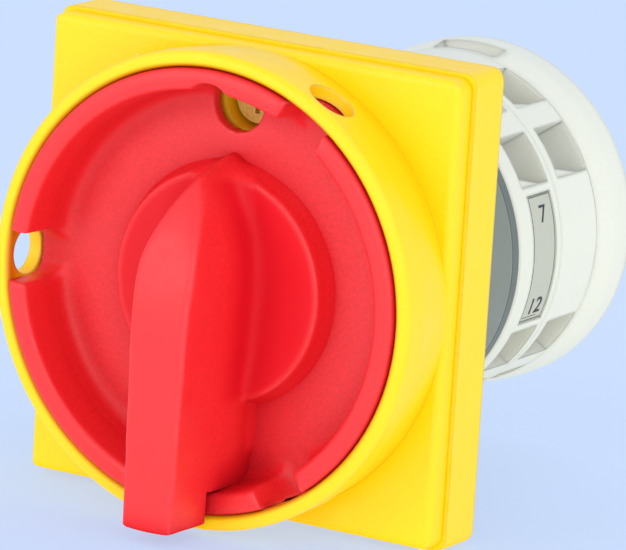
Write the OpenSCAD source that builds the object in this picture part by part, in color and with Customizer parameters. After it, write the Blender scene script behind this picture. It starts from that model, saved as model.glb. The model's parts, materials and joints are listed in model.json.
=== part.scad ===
// Padlockable main switch with a rotary cam mechanism, made to be screwed to a panel.
// Every piece is modelled on the bench: the shaft stands upright, heights count up towards
// the hand, depths count down behind the panel, and 12 o'clock is along +Y.
// placed() then lays the whole switch down: the front faces -Y and 12 o'clock is up (+Z).

/* [Front plate and base frame] */
// Width of the base frame that lies on the panel
frame_w = 64; // [63:0.5:72]
// Height of the base frame
frame_h = 7.1; // [6.5:0.1:9]
// Wall of the base frame
frame_wall = 2.4; // [1.8:0.1:2.8]
// Floor of the base frame
frame_floor = 1.8; // [1.4:0.1:2.2]
// Step from the frame's side in to the plate's side
plate_step = 0.6; // [0.3:0.1:1]
// Thickness of the front plate
plate_t = 3.1; // [2.6:0.1:4]
// Rounding of the front plate's front edges
plate_edge = 1.06; // [0.5:0.02:1.5]
// Rounding of the upright corners
corner_r = 1.8; // [1:0.1:3]
// Distance of the collar's lip from the frame's side
lip_inset = 0.1; // [0:0.05:0.5]
// How far the lip stands out past the collar's foot
lip_overhang = 0.65; // [0.3:0.05:1]
// Wall of the collar at its lip
collar_wall = 2.2; // [1.8:0.1:2.5]
// Height of the collar above the plate
collar_h = 10.6; // [9.5:0.1:12]
// Distance of the gasket from the frame's side
gasket_inset = 2.5; // [2:0.1:3.2]
// Width of the gasket's strip
gasket_strip = 2.2; // [1.5:0.1:2.6]
// Thickness of the gasket
gasket_t = 0.8; // [0.5:0.1:1]

/* [Locking disc] */
// Clearance between the disc and the collar
disc_gap = 0.25; // [0.15:0.05:0.5]
// Air between the plate's face and the disc
disc_lift = 1.1; // [0.8:0.1:1.6]
// Thickness of the disc's floor
disc_floor = 2; // [1.6:0.1:2.6]
// Height of the rim above the collar's lip
rim_rise = 0.65; // [0.3:0.05:1.2]
// Wall of the rim at its top
rim_wall = 2.75; // [2.4:0.05:3.2]
// How much thicker the rim is at the floor
rim_draft = 0.5; // [0.2:0.1:0.8]
// Rounding where the rim meets the floor
rim_fillet = 2; // [0.5:0.1:2.5]
// Rounding of the rim's outer edge
rim_edge = 1; // [0.5:0.1:1.3]
// Radius of the disc's neck, which turns in the plate
neck_r = 10; // [9.5:0.1:10.5]
// Height of the neck's lower end above the panel
neck_end = 2.6; // [2:0.1:3]
// Radius of the padlock tunnels
tunnel_r = 3.3; // [2.8:0.1:3.5]
// Height of the tunnels' axis above the disc's floor
tunnel_rise = 2.9; // [2.6:0.1:3.1]
// Room around a screw's head in the hole that lets a screwdriver through the disc
access_gap = 0.44; // [0.3:0.02:0.7]

/* [Grip] */
// Height of the grip above the disc's floor
grip_rise = 17.1; // [15:0.1:20]
// How far the grip's end stays inside the collar's lip
grip_short = 1.2; // [0.8:0.1:2]
// Half width of the grip's flat top at the shaft
grip_top_hw = 4.4; // [3.8:0.1:5]
// How much narrower each half of the top is at the tail's end
grip_taper = 0.8; // [0:0.1:1.2]
// Angle by which the flanks lean outwards
grip_lean = 4.2; // [2:0.2:6]
// Radius of the nose's flanks, seen from the front
grip_nose_r = 23.5; // [21:0.5:27]
// Radius along which the crest falls to the prow
crest_r = 30; // [24:1:40]
// Height of the prow's top above the disc's floor
prow_rise = 9.4; // [7:0.1:11]
// Half width where the flanks run out into the boss
grip_flare_hw = 7.1; // [6.4:0.1:8]
// Radius of that hollow sweep
flare_r = 3; // [2:0.1:4]
// Radius of the round boss under the grip
boss_r = 16.15; // [15.5:0.05:17]
// Height of the boss
boss_h = 3.1; // [2:0.1:3.5]
// How far the boss leans in from foot to top
boss_lean = 0.55; // [0.2:0.05:1]
// Height of the grip's overhang above the disc's rim
overhang_gap = 0.85; // [0.5:0.05:1.5]
// Clearance between the grip and the rim's wall
grip_rim_gap = 0.2; // [0.1:0.05:0.5]

/* [Screws] */
// Distance of the mounting screws from the rim's foot
screw_inset = 2.1; // [1.8:0.1:2.6]
// Radius of a mounting screw's shank
screw_r = 1.95; // [1.7:0.05:2]
// Radius of a mounting screw's head
screw_head_r = 3.3; // [3:0.1:3.4]
// Height of a mounting screw's head
screw_head_h = 2.8; // [2.2:0.1:3]
// Room around a mounting screw's head in its sunk seat
seat_gap = 0.5; // [0.3:0.05:0.7]
// Height of that seat above the panel
seat_h = 5.5; // [5:0.1:5.8]
// Distance of the grip's two screws from the disc's neck
grip_screw_out = 3; // [2.8:0.1:4]
// Radius of a grip screw's shank
grip_screw_r = 1.1; // [0.9:0.05:1.3]
// Radius of a grip screw's countersunk head
grip_screw_head_r = 2.2; // [1.8:0.1:2.3]
// Distance of the tie bolts from the shaft's axis
tie_at = 15; // [14.8:0.1:15.2]
// Radius of a tie bolt
tie_r = 1.5; // [1.2:0.05:1.5]
// Radius of a tie bolt's head
tie_head_r = 2.75; // [2.4:0.05:3]
// Height of a tie bolt's head
tie_head_h = 2; // [1.6:0.1:2.4]
// Width of a tie nut across its corners
tie_nut_w = 6.3; // [5.8:0.1:6.4]
// Height of a tie nut
tie_nut_h = 2.4; // [2:0.1:2.6]

/* [Shaft and latch] */
// Thickness of the panel that the switch clamps
panel_t = 3; // [1:0.5:4]
// Width of the square shaft
shaft_w = 6; // [5:0.1:6.2]
// Width of the fastening flange outside the mounting screws
flange_rim = 3.5; // [3:0.1:4]
// Thickness of that flange
flange_t = 4.2; // [3.6:0.1:5]
// How far the latch housing stands in from the decks
latch_step = 0.1; // [0:0.1:0.6]
// Length of the latch housing with its flange
latch_len = 18.8; // [18.4:0.1:22]
// Thickness of the plate that closes the latch
latch_plate_t = 2; // [1.6:0.1:3]
// Radius of the latch hub's journals
journal_r = 8; // [7.5:0.1:8.2]
// Width of the square latch hub across its flats
hub_w = 13; // [12:0.1:13.4]
// Radius to which the hub's corners are turned
hub_corner_r = 8.2; // [8:0.1:8.4]
// Thickness of a leaf spring
leaf_t = 0.5; // [0.3:0.1:0.8]
// Length of a leaf spring
leaf_len = 30; // [28:0.5:32]
// Width of a leaf spring along the shaft
leaf_w = 7; // [5:0.5:7.5]
// Radius of the stop arm on the hub
stop_arm_r = 12.3; // [11:0.1:12.6]
// Half of the angle that the stop arm takes
stop_angle = 12; // [8:1:14]
// Angle through which the handle turns
turn = 90; // [80:1:92]

/* [Contact decks] */
// Radius of the contact decks
deck_r = 23.4; // [23.2:0.1:24]
// Air between a plunger's tail and the deck's ring
tail_gap = 0.85; // [0.5:0.05:1]
// Length of the front deck along the shaft
deck_1_len = 11.7; // [11.2:0.1:13]
// Length of the rear deck along the shaft
deck_2_len = 10; // [9.6:0.1:12]
// Thickness of the front deck's front wall
deck_1_wall = 2; // [1.5:0.1:2.2]
// Thickness of the rear deck's front wall
deck_2_wall = 1.5; // [1.2:0.1:1.8]
// Angle between neighbouring terminal windows
window_pitch = 27.7; // [27:0.1:28.4]
// Width of a terminal window
window_w = 7.44; // [6:0.02:7.8]
// Wall between a terminal window's floor and the deck's inside
window_wall = 1.3; // [0.9:0.1:2]
// Distance of the front deck's windows from its front face
window_1_at = 3.2; // [2.6:0.1:3.6]
// Length of the front deck's windows along the shaft
window_1_len = 7.2; // [6:0.1:7.8]
// Distance of the rear deck's windows from its front face
window_2_at = 1.5; // [1.2:0.1:1.8]
// Length of the rear deck's windows along the shaft
window_2_len = 8; // [7:0.1:8]
// Radius of a wire hole in a window's floor
wire_r = 1.9; // [1.5:0.1:2.2]
// Radius of a screwdriver hole in a window's floor
driver_r = 2.4; // [2:0.1:2.6]
// Half of the angle that a marker strip takes
marker_angle = 22; // [12:1:23]
// Width of a marker strip along the shaft
marker_w = 6.2; // [4:0.1:6.6]
// Distance of a marker strip from the front deck's front face
marker_at = 3.9; // [3:0.1:4.4]
// Thickness of a marker strip
marker_t = 0.3; // [0.2:0.05:0.4]
// How far a marker strip lies below the deck's skin
marker_sunk = 0.2; // [0.1:0.05:0.4]

/* [Cams and contacts] */
// Radius of a cam where it holds a contact open
cam_r = 8.6; // [8.2:0.1:8.8]
// Travel of a plunger between off and on
travel = 2; // [1.2:0.1:2.2]
// Thickness of a cam
cam_t = 5; // [4:0.1:5.6]
// Radius of a cam's hub
cam_hub_r = 5.8; // [5.4:0.1:6]
// Width of a plunger
plunger_w = 5; // [4.4:0.1:5.2]
// Length of a plunger behind its nose's centre
plunger_len = 5.2; // [4.8:0.1:5.4]
// Thickness of a contact bridge
bridge_t = 1; // [0.8:0.1:1.2]
// Distance of a bridge from its plunger's nose centre
bridge_at = 1.95; // [1.8:0.05:2.2]
// Half length of a contact bridge
bridge_half = 8.2; // [7.8:0.1:8.6]
// Height of a contact bridge along the shaft
bridge_h = 4.4; // [3.6:0.1:4.4]
// Distance of the contact tips from the plunger's axis
tip_at = 6.2; // [6:0.1:6.4]
// Radius of a contact tip
tip_r = 1.6; // [1.2:0.1:1.7]
// Thickness of a contact tip
tip_t = 0.6; // [0.4:0.1:0.8]
// Gap that stays between the tips when the switch is on
tip_gap = 0.1; // [0.05:0.05:0.2]
// Thickness of a terminal strip
strip_t = 1.2; // [1:0.1:1.3]
// Air between a terminal screw's head and the deck's ring
head_gap = 0.4; // [0.3:0.05:0.8]
// Thickness of a terminal's clamp plate
clamp_t = 1; // [0.8:0.1:1]
// Width of a clamp plate
clamp_w = 5.6; // [5:0.1:5.6]
// Radius of a terminal screw
term_screw_r = 1.65; // [1.4:0.05:1.7]
// Radius of a terminal screw's head
term_head_r = 2.7; // [2.4:0.1:2.8]
// Height of a terminal screw's head
term_head_h = 1.9; // [1.4:0.1:2]
// Length of a terminal screw under its head
term_screw_len = 4; // [3:0.1:4.4]
// Mean radius of a contact spring's coil
spring_r = 2.1; // [1.9:0.05:2.3]
// Radius of a contact spring's wire
wire_spring_r = 0.25; // [0.15:0.05:0.3]
// Turns of a contact spring
spring_turns = 5; // [4:1:6]

/* [Rear cover] */
// How far the rear cover flares out past the decks
cover_flare = 0.8; // [0.4:0.1:1.4]
// Length of the rear cover along the shaft
cover_len = 8.5; // [7.5:0.1:10]
// Thickness of the rear cover's web
cover_web = 2; // [1.6:0.1:3]
// Wall of the rear cover
cover_wall = 2.2; // [1.6:0.1:2.6]
// Distance of the rear cover's side slots from its front
cover_slot_at = 1; // [0.6:0.1:1.6]
// Length of a side slot along the shaft
cover_slot_len = 3; // [2:0.1:3.6]
// Depth of a side slot
cover_slot_deep = 1.4; // [0.8:0.1:1.6]
// Half of the angle that a side slot takes
cover_slot_angle = 12; // [8:1:16]
// Rounding of the rear cover's back edge
cover_edge = 0.5; // [0.3:0.1:1]

/* [Hidden] */
$fn = 96;

// A cut runs this far past the faces that it opens
past = 1;
// Joined solids run this far into each other, and a hair where they only have to touch
weld = 0.1;
hair = 0.01;
// Clearance of a turning fit, of a plugged fit and of a screw in its hole
turn_gap = 0.1;
plug_gap = 0.1;
hole_gap = 0.1;
thread_gap = 0.02;

// Heights above the panel
plate_top = frame_h + plate_t;
lip_top = plate_top + collar_h;
floor_under = plate_top + disc_lift;
floor_top = floor_under + disc_floor;
rim_top = lip_top + rim_rise;
tunnel_h = floor_top + tunnel_rise;
boss_top = floor_top + boss_h;
grip_top = floor_top + grip_rise;
overhang_h = rim_top + overhang_gap;

// Radii from the frame's side inwards
plate_w = frame_w - 2 * plate_step;
gasket_w = frame_w - 2 * gasket_inset;
lip_r = frame_w / 2 - lip_inset;
collar_foot_r = lip_r - lip_overhang;
collar_in_r = lip_r - collar_wall;
disc_r = collar_in_r - disc_gap;
rim_in_r = disc_r - rim_wall;
rim_foot_r = rim_in_r - rim_draft;
grip_tail = lip_r - grip_short;
screw_ring_r = rim_foot_r - screw_inset;
flange_r = screw_ring_r + flange_rim;
seat_r = screw_head_r + seat_gap;
access_r = screw_head_r + access_gap;
grip_screw_at = neck_r + grip_screw_out;

// Depths behind the panel
flange_front = panel_t;
flange_back = flange_front + flange_t;
latch_back = flange_front + latch_len;
deck_1_front = latch_back + latch_plate_t;
deck_2_front = deck_1_front + deck_1_len;
cover_front = deck_2_front + deck_2_len;
cover_back = cover_front + cover_len;
function deck_front(n) = n == 1 ? deck_1_front : deck_2_front;
function deck_len(n) = n == 1 ? deck_1_len : deck_2_len;
function deck_wall(n) = n == 1 ? deck_1_wall : deck_2_wall;
function deck_floor(n) = deck_front(n) + deck_wall(n);
function deck_mid(n) = (deck_floor(n) + deck_front(n) + deck_len(n)) / 2;

// Where things stand around the shaft, in degrees from 3 o'clock
tunnel_angles = [60, 180, 300];
screw_angles = [90, 0, 270, 180];
terminal_angle = 90 - window_pitch;
wire_angle = 90 - 2 * window_pitch;

// Front plate
skirt_gap = 0.2;
skirt_t = 1.2;
skirt_h = 2.5;
skirt_w = frame_w - 2 * frame_wall - 2 * skirt_gap;
catch_w = 8;
catch_t = 0.5;
catch_h = 0.9;
catch_rise = 0.2;
hub_wall = 4;
hub_wall_r = neck_r + hub_wall;
hub_drop = 2.6;
seat_wall = 1.6;
seat_boss_r = seat_r + seat_wall;
sleeve_inset = 0.8;
sleeve_r = seat_boss_r - sleeve_inset;
sleeve_rise = 1.8;
sleeve_h = frame_floor + sleeve_rise;
rib_t = 1.2;
rib_drop = 2.2;
collar_root = 0.4;
lip_round_out = 0.9;
lip_round_in = 0.9;
lip_band = 4;
frame_land = 3.1;
frame_hole_r = screw_ring_r - frame_land;
screw_end_gap = 0.2;
cross_len = 4;
cross_w = 0.7;
cross_deep = 1.4;

// Locking disc
rim_round_in = 0.8;
glide_inset = 0.85;
glide_w = 1.2;
glide_out_r = disc_r - glide_inset;
glide_in_r = glide_out_r - glide_w;
glide_gap = 0.2;
spigot_r = 6;
spigot_h = 1.5;
socket_drop = 0.8;
socket_top = floor_under - socket_drop;
socket_w = shaft_w + 2 * plug_gap;
seal_r = 0.62;
seal_drop = 2.4;
seal_h = plate_top - seal_drop;
seal_room = 0.1;
seal_groove_r = neck_r - 2 * seal_r + hair;
clip_t = 0.8;
clip_gap = 0.1;
clip_h = frame_h - hub_drop - clip_t - clip_gap;
clip_room = 0.05;
clip_reach = 2.5;
clip_r = neck_r + clip_reach;
clip_groove = 0.9;
clip_mouth = 70;

// Grip
nose_from = 2;
boss_edge = 0.8;
flare_nose_r = 19.6;
flare_tail_r = 80;
flare_root = 0.3;
flare_floor = 0.1;
flare_rim = 0.5;
grip_screw_sunk = 0.2;
grip_screw_in = 5.3;
grip_screw_slot = [3, 0.6, 0.6];
bore_end = 0.3;

// Latch
latch_r = deck_r - latch_step;
flange_edge = 0.4;
arm_clear = 1.8;
hub_arm_depth = flange_back + arm_clear;
arm_t = 2.5;
arm_rest = turn / 2;
stop_gap = 0.4;
stop_block = 10;
block_in = 1.4;
hub_back_step = 1.6;
hub_back_r = journal_r - hub_back_step;
leaf_gap = 0.05;
leaf_under = 1;
leaf_depth = hub_arm_depth + arm_t + leaf_under;
leaf_hold = 2.9;
leaf_holder_wall = 1.1;
leaf_pocket = 0.15;
leaf_end_gap = 0.1;
latch_wall = 2;
tie_boss_r = 4.2;
nut_gap = 0.1;
nut_sunk = 0.2;
nut_back = flange_front + nut_sunk + tie_nut_h;
hub_end_gap = 0.2;
shaft_end_gap = 0.3;
shaft_chamfer = 0.6;

// Cams and contacts
nose_gap = 0.15;
nose_r = plunger_w / 2;
nose_at = cam_r + nose_gap + nose_r;
chamber_r = nose_at + plunger_len + tail_gap;
window_floor_r = chamber_r + window_wall;
clamp_at = chamber_r - head_gap - term_head_h - clamp_t;
bridge_x = nose_at + bridge_at;
strip_face = bridge_x - tip_t - travel - tip_gap - tip_t;
strip_half = 3.2;
rail_gap = 0.1;
rail_t = 1.3;
rail_cam_gap = 0.7;
rail_start = cam_r + rail_cam_gap;
rail_drop = 0.2;
strip_rail_gap = 0.5;
strip_start = plunger_w / 2 + rail_gap + rail_t + strip_rail_gap;
slide_gap = 0.15;
plunger_over = 3.2;
bridge_room = 0.05;
spring_seat_gap = 0.1;
coil_room = 0.45;
spigot_pin_r = spring_r - wire_spring_r - coil_room;
spigot_pin_h = 1.8;
spring_pocket_r = spring_r + wire_spring_r + coil_room;
pocket_wall = 2.2;
spring_pocket_end = deck_r - pocket_wall;
pillar_r = 2.7;
cam_dwell = 12;
cam_step = 3;
cam_end_gap = 0.1;
coil_steps = 14;
wire_sides = 6;
marker_side = 0.5;
marker_room = 0.1;

// Screwdriver slots in the terminal screws' and the tie bolts' heads
slot_w = 0.8;
slot_deep = 0.8;

// Decks and rear cover; the seam is the chamfer where two of them meet
seam = 0.25;
cover_r = deck_r + cover_flare;
shaft_over = 2;
shaft_end = cover_front + cover_web + shaft_over;
seat_over = 3;
tie_seat = cover_front + cover_web + seat_over;
cover_hub_wall = 2.6;
cover_hub_back = 1.5;
cover_rib_t = 1.4;
cover_rib_back = 2.5;
cover_straight = 0.5;
bolt_end_gap = 0.3;
bolt_head_gap = 0.3;

module placed() {
    rotate([90, 0, 0]) children();
}

// From depth d behind the panel towards the hand
module at_depth(d) {
    translate([0, 0, -d]) children();
}

module around(angles) {
    for (a = angles) rotate([0, 0, a]) children();
}

module at_radius(r, angles) {
    around(angles) translate([r, 0, 0]) children();
}

// A tube or disc that fills the depths from one to another
module disc_between(r, from, to) {
    at_depth(to) cylinder(r = r, h = to - from);
}

module bore_between(r, from, to) {
    disc_between(r, from - past, to + past);
}

// A disc between two depths whose rims are chamfered
module chamfered_disc(r, from, to, edge) {
    at_depth(to) rotate_extrude() polygon([[0, 0], [r - edge, 0], [r, edge], [r, to - from - edge],
        [r - edge, to - from], [0, to - from]]);
}

module rounded_square(w, r) {
    square([w - 2 * r, w], center = true);
    square([w, w - 2 * r], center = true);
    for (x = [-1, 1], y = [-1, 1]) translate([x, y] * (w / 2 - r)) circle(r);
}

module square_ring(w_out, w_in, r, h) {
    linear_extrude(h) difference() {
        rounded_square(w_out, r);
        square(w_in, center = true);
    }
}

// An outline from x0 to x1 and from y0 to y1 whose two upper corners are round
module round_topped(x0, x1, y0, y1, left_r, right_r) {
    translate([x0 + left_r, y0]) square([x1 - right_r - x0 - left_r, y1 - y0]);
    translate([x0, y0]) square([x1 - x0, y1 - max(left_r, right_r) - y0]);
    translate([x0 + left_r, y1 - left_r]) circle(left_r);
    translate([x1 - right_r, y1 - right_r]) circle(right_r);
}

// A slice of a tube from angle a0 to angle a1
module sector(r_in, r_out, a0, a1, h) {
    rotate([0, 0, a0]) rotate_extrude(angle = a1 - a0) translate([r_in, 0]) square([r_out - r_in, h]);
}

module square_bar(w, from, to) {
    at_depth(to) translate([-w / 2, -w / 2, 0]) cube([w, w, to - from]);
}

// A slab with upright round corners and round front edges
module soft_slab(w, t, corner, edge) {
    intersection() {
        linear_extrude(t) rounded_square(w, corner);
        rotate([90, 0, 0]) slab_profile(w, t, edge);
        rotate([90, 0, 90]) slab_profile(w, t, edge);
    }
}

module slab_profile(w, t, edge) {
    linear_extrude(w + 2 * past, center = true) round_topped(-w / 2, w / 2, -past, t, edge, edge);
}

module collar_profile() {
    polygon([[collar_in_r, frame_h + past], [collar_foot_r, frame_h + past],
        [collar_foot_r, plate_top + collar_root], [lip_r, lip_top - lip_band + weld],
        [collar_in_r, lip_top - lip_band + weld]]);
    round_topped(collar_in_r, lip_r, lip_top - lip_band, lip_top, lip_round_in, lip_round_out);
}

// The padlock's way out: a round tunnel along the radius
module tunnel(from, to) {
    around(tunnel_angles) translate([from, 0, tunnel_h]) rotate([0, 90, 0])
        cylinder(r = tunnel_r, h = to - from);
}

module catches(grow) {
    for (a = [0:90:270]) rotate([0, 0, a])
        translate([skirt_w / 2 - past, -catch_w / 2 - grow, frame_h - skirt_h + catch_rise - grow])
            cube([past + catch_t + grow, catch_w + 2 * grow, catch_h + 2 * grow]);
}

module front_plate() color("gold") placed() difference() {
    union() {
        translate([0, 0, frame_h]) soft_slab(plate_w, plate_t, corner_r, plate_edge);
        rotate_extrude() collar_profile();
        translate([0, 0, frame_h - skirt_h])
            square_ring(skirt_w, skirt_w - 2 * skirt_t, corner_r, skirt_h + past);
        catches(0);
        translate([0, 0, frame_h - hub_drop]) cylinder(r = hub_wall_r, h = hub_drop + past);
        at_radius(screw_ring_r, screw_angles) translate([0, 0, sleeve_h])
            cylinder(r = seat_boss_r, h = frame_h + past - sleeve_h);
        around([45:90:315]) translate([hub_wall_r - past, -rib_t / 2, frame_h - rib_drop])
            cube([skirt_w / sqrt(2) - hub_wall_r - corner_r, rib_t, rib_drop + past]);
    }
    translate([0, 0, -past]) cylinder(r = neck_r + turn_gap, h = plate_top + 2 * past);
    at_radius(screw_ring_r, screw_angles) {
        translate([0, 0, seat_h]) cylinder(r = seat_r, h = plate_top - seat_h + past);
        translate([0, 0, -past]) cylinder(r = screw_r + hole_gap, h = plate_top);
    }
    tunnel(collar_in_r - 2 * past, lip_r + past);
}

module base_frame() color("gold") placed() difference() {
    union() {
        linear_extrude(frame_floor) rounded_square(frame_w, corner_r);
        square_ring(frame_w, frame_w - 2 * frame_wall, corner_r, frame_h);
        at_radius(screw_ring_r, screw_angles) cylinder(r = sleeve_r, h = sleeve_h);
    }
    translate([0, 0, -past]) cylinder(r = frame_hole_r, h = frame_floor + 2 * past);
    at_radius(screw_ring_r, screw_angles) translate([0, 0, -past])
        cylinder(r = screw_r + hole_gap, h = sleeve_h + 2 * past);
    translate([0, 0, -past]) gasket_ring(gasket_t + past);
    catches(skirt_gap);
}

module gasket_ring(h) {
    square_ring(gasket_w, gasket_w - 2 * gasket_strip, corner_r, h);
}

module panel_gasket() color("dimgray") placed() gasket_ring(gasket_t);

module mounting_screws() color("silver") placed() at_radius(screw_ring_r, screw_angles) difference() {
    union() {
        translate([0, 0, seat_h]) cylinder(r = screw_head_r, h = screw_head_h);
        disc_between(screw_r, -seat_h - weld, flange_back - screw_end_gap);
    }
    for (a = [0, 90]) rotate([0, 0, a])
        translate([-cross_len / 2, -cross_w / 2, seat_h + screw_head_h - cross_deep])
            cube([cross_len, cross_w, cross_deep + past]);
}

module disc_profile() {
    translate([0, floor_under]) square([disc_r - rim_edge, disc_floor]);
    polygon([[rim_foot_r, floor_under], [disc_r, floor_under],
        [disc_r, rim_top - rim_edge], [disc_r - rim_edge, rim_top - rim_edge / 2],
        [rim_in_r, rim_top - rim_edge], [rim_foot_r, floor_top]]);
    round_topped(rim_in_r, disc_r, rim_top - 2 * rim_edge, rim_top, rim_round_in, rim_edge);
    rim_cove(0);
    translate([glide_in_r, plate_top + glide_gap])
        square([glide_out_r - glide_in_r, floor_under - plate_top - glide_gap + weld]);
    translate([0, neck_end]) square([neck_r, floor_under - neck_end + weld]);
}

// The round where the rim meets the floor; a gap makes it the room that another piece leaves
module rim_cove(gap) {
    translate([rim_foot_r - rim_fillet, floor_top - weld]) difference() {
        square(rim_fillet + weld);
        translate([0, rim_fillet + weld]) circle(rim_fillet - gap);
    }
}

// A padlock slot: round below, open above, as wide as the tunnel behind it
module rim_slot() {
    from = rim_foot_r - rim_fillet;
    length = disc_r - from + past;
    tunnel(from, from + length);
    around(tunnel_angles) translate([from, -tunnel_r, tunnel_h])
        cube([length, 2 * tunnel_r, rim_top - tunnel_h + past]);
}

module locking_disc() color("red") placed() difference() {
    rotate_extrude() disc_profile();
    rim_slot();
    at_radius(screw_ring_r, [90]) translate([0, 0, plate_top])
        cylinder(r = access_r, h = rim_top - plate_top + past);
    translate([0, 0, floor_top - spigot_h]) cylinder(r = spigot_r + hole_gap, h = spigot_h + past);
    square_bar(socket_w, -socket_top, past - neck_end);
    at_radius(grip_screw_at, [90, 270]) {
        grip_screw(hole_gap);
        translate([0, 0, floor_under - past])
            cylinder(r = grip_screw_head_r + hole_gap, h = past + grip_screw_sunk + hair);
    }
    translate([0, 0, seal_h - seal_r - seal_room])
        ring_solid(neck_r + past, seal_groove_r, 2 * (seal_r + seal_room));
    translate([0, 0, clip_h - clip_room])
        ring_solid(neck_r + past, neck_r - clip_groove, clip_t + 2 * clip_room);
}

module ring_solid(r_out, r_in, h) {
    rotate_extrude() translate([r_in, 0]) square([r_out - r_in, h]);
}

// A countersunk screw that comes up from under the disc's floor; grow widens it to its hole
module grip_screw(grow) {
    head_h = grip_screw_head_r - grip_screw_r;
    translate([0, 0, floor_under + grip_screw_sunk]) {
        cylinder(r1 = grip_screw_head_r + grow, r2 = grip_screw_r + grow, h = head_h);
        cylinder(r = grip_screw_r + grow, h = disc_floor - grip_screw_sunk + grip_screw_in);
    }
}

module grip_screws() color("silver") placed() at_radius(grip_screw_at, [90, 270]) difference() {
    grip_screw(0);
    translate([-grip_screw_slot[0], -grip_screw_slot[1], 0] / 2 + [0, 0, floor_under - past])
        cube(grip_screw_slot + [0, 0, grip_screw_sunk + past]);
}

// The grip's flanks lean outwards on the way down, so its width and its tip depend on the height
function flank_half(h) = grip_top_hw + (grip_top - h) * tan(grip_lean);
function tip_at_height(h) = nose_from + sqrt(2 * grip_nose_r * flank_half(h) - pow(flank_half(h), 2));

// The crest falls from the flat top to the top of the prow along an arc
prow_h = floor_top + prow_rise;
crest_start = [nose_from, grip_top];
crest_end = [tip_at_height(prow_h), prow_h];
crest_chord = crest_end - crest_start;
crest_centre = (crest_start + crest_end) / 2 + sqrt(pow(crest_r, 2) - pow(norm(crest_chord) / 2, 2))
    * [crest_chord[1], -crest_chord[0]] / norm(crest_chord);

module grip_side() {
    rotate([90, 0, 90]) linear_extrude(2 * boss_r, center = true) {
        translate([-grip_tail - past, floor_top]) square([grip_tail + past + nose_from, grip_rise]);
        intersection() {
            translate([nose_from - weld, floor_top]) square([grip_tail, grip_rise]);
            translate(crest_centre) circle(crest_r);
        }
    }
}

// Everything on the left of the right flank
module grip_flank() {
    translate([0, 0, grip_top]) rotate([0, -grip_lean, 0]) translate([0, 0, -2 * grip_rise])
    linear_extrude(3 * grip_rise) {
        intersection() {
            translate([grip_top_hw - grip_nose_r, nose_from]) circle(grip_nose_r);
            translate([-grip_tail, nose_from - weld]) square(2 * grip_tail);
        }
        polygon([[-grip_tail, nose_from], [grip_top_hw, nose_from],
            [grip_top_hw - grip_taper, -grip_tail - past], [-grip_tail, -grip_tail - past]]);
    }
}

// The hollow sweep in which a flank runs out into the boss, turned about a far centre
module flare_side(r) {
    translate([grip_flare_hw - r, nose_from, boss_top]) rotate_extrude() difference() {
        translate([0, -flare_root]) square([r, flare_r + flare_root]);
        translate([r, flare_r + flare_floor]) circle(flare_r);
    }
}

module flare_half(r, y0) {
    intersection() {
        flare_side(r);
        mirror([1, 0, 0]) flare_side(r);
        translate([-boss_r, y0, boss_top - past]) cube([2 * boss_r, boss_r + nose_from, flare_r + 2 * past]);
    }
}

module grip_flare() {
    intersection() {
        union() {
            flare_half(flare_nose_r, nose_from - weld / 2);
            flare_half(flare_tail_r, -boss_r);
        }
        translate([0, 0, boss_top - past])
            cylinder(r = boss_r - boss_lean - flare_rim, h = flare_r + 2 * past);
    }
}

// A skin over sections that all have the same number of points, closed at both ends
module skin(sections) {
    n = len(sections[0]);
    m = len(sections);
    polyhedron(points = [for (s = sections) each s], faces = concat(
        [[for (i = [0:n - 1]) i]], [[for (i = [n - 1:-1:0]) (m - 1) * n + i]],
        [for (k = [0:m - 2], i = [0:n - 1]) let (a = k * n + i, b = k * n + (i + 1) % n) [a, a + n, b + n]],
        [for (k = [0:m - 2], i = [0:n - 1]) let (a = k * n + i, b = k * n + (i + 1) % n) [a, b + n, b]]));
}

module boss_profile() {
    top_r = boss_r - boss_lean;
    polygon([[0, floor_top], [boss_r, floor_top],
        [top_r, boss_top - boss_edge], [top_r - boss_edge, boss_top], [0, boss_top]]);
    translate([top_r - boss_edge, boss_top - boss_edge]) circle(boss_edge);
}

module grip() color("red") placed() difference() {
    union() {
        rotate_extrude() boss_profile();
        intersection() {
            grip_side();
            grip_flank();
            mirror([1, 0, 0]) grip_flank();
            cylinder(r = grip_tail, h = grip_top + past);
        }
        grip_flare();
        translate([0, 0, floor_top - spigot_h]) cylinder(r = spigot_r, h = spigot_h + past);
    }
    ring_solid(frame_w, rim_foot_r - grip_rim_gap, overhang_h);
    rotate_extrude() rim_cove(grip_rim_gap);
    at_radius(grip_screw_at, [90, 270]) translate([0, 0, floor_top - past])
        cylinder(r = grip_screw_r + thread_gap, h = past + grip_screw_in + bore_end);
}

module shaft_seal() color("dimgray") placed() translate([0, 0, seal_h]) rotate_extrude()
    translate([seal_groove_r + seal_r + hair, 0]) circle(seal_r);

module retaining_clip() color("silver") placed() translate([0, 0, clip_h]) difference() {
    ring_solid(clip_r, neck_r - clip_groove + clip_room, clip_t);
    translate([0, 0, -past]) rotate([0, 0, 90])
        sector(past, clip_r + past, -clip_mouth / 2, clip_mouth / 2, clip_t + 2 * past);
}

module drive_shaft() color("silver") placed() difference() {
    start = shaft_end_gap - socket_top;
    square_bar(shaft_w, start, shaft_end);
    for (end = [start, shaft_end]) at_depth(end) around([0:90:270]) translate([shaft_w / 2, 0, 0])
        rotate([0, 45, 0]) cube([shaft_chamfer, shaft_w + 2 * past, shaft_chamfer], center = true);
}

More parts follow.
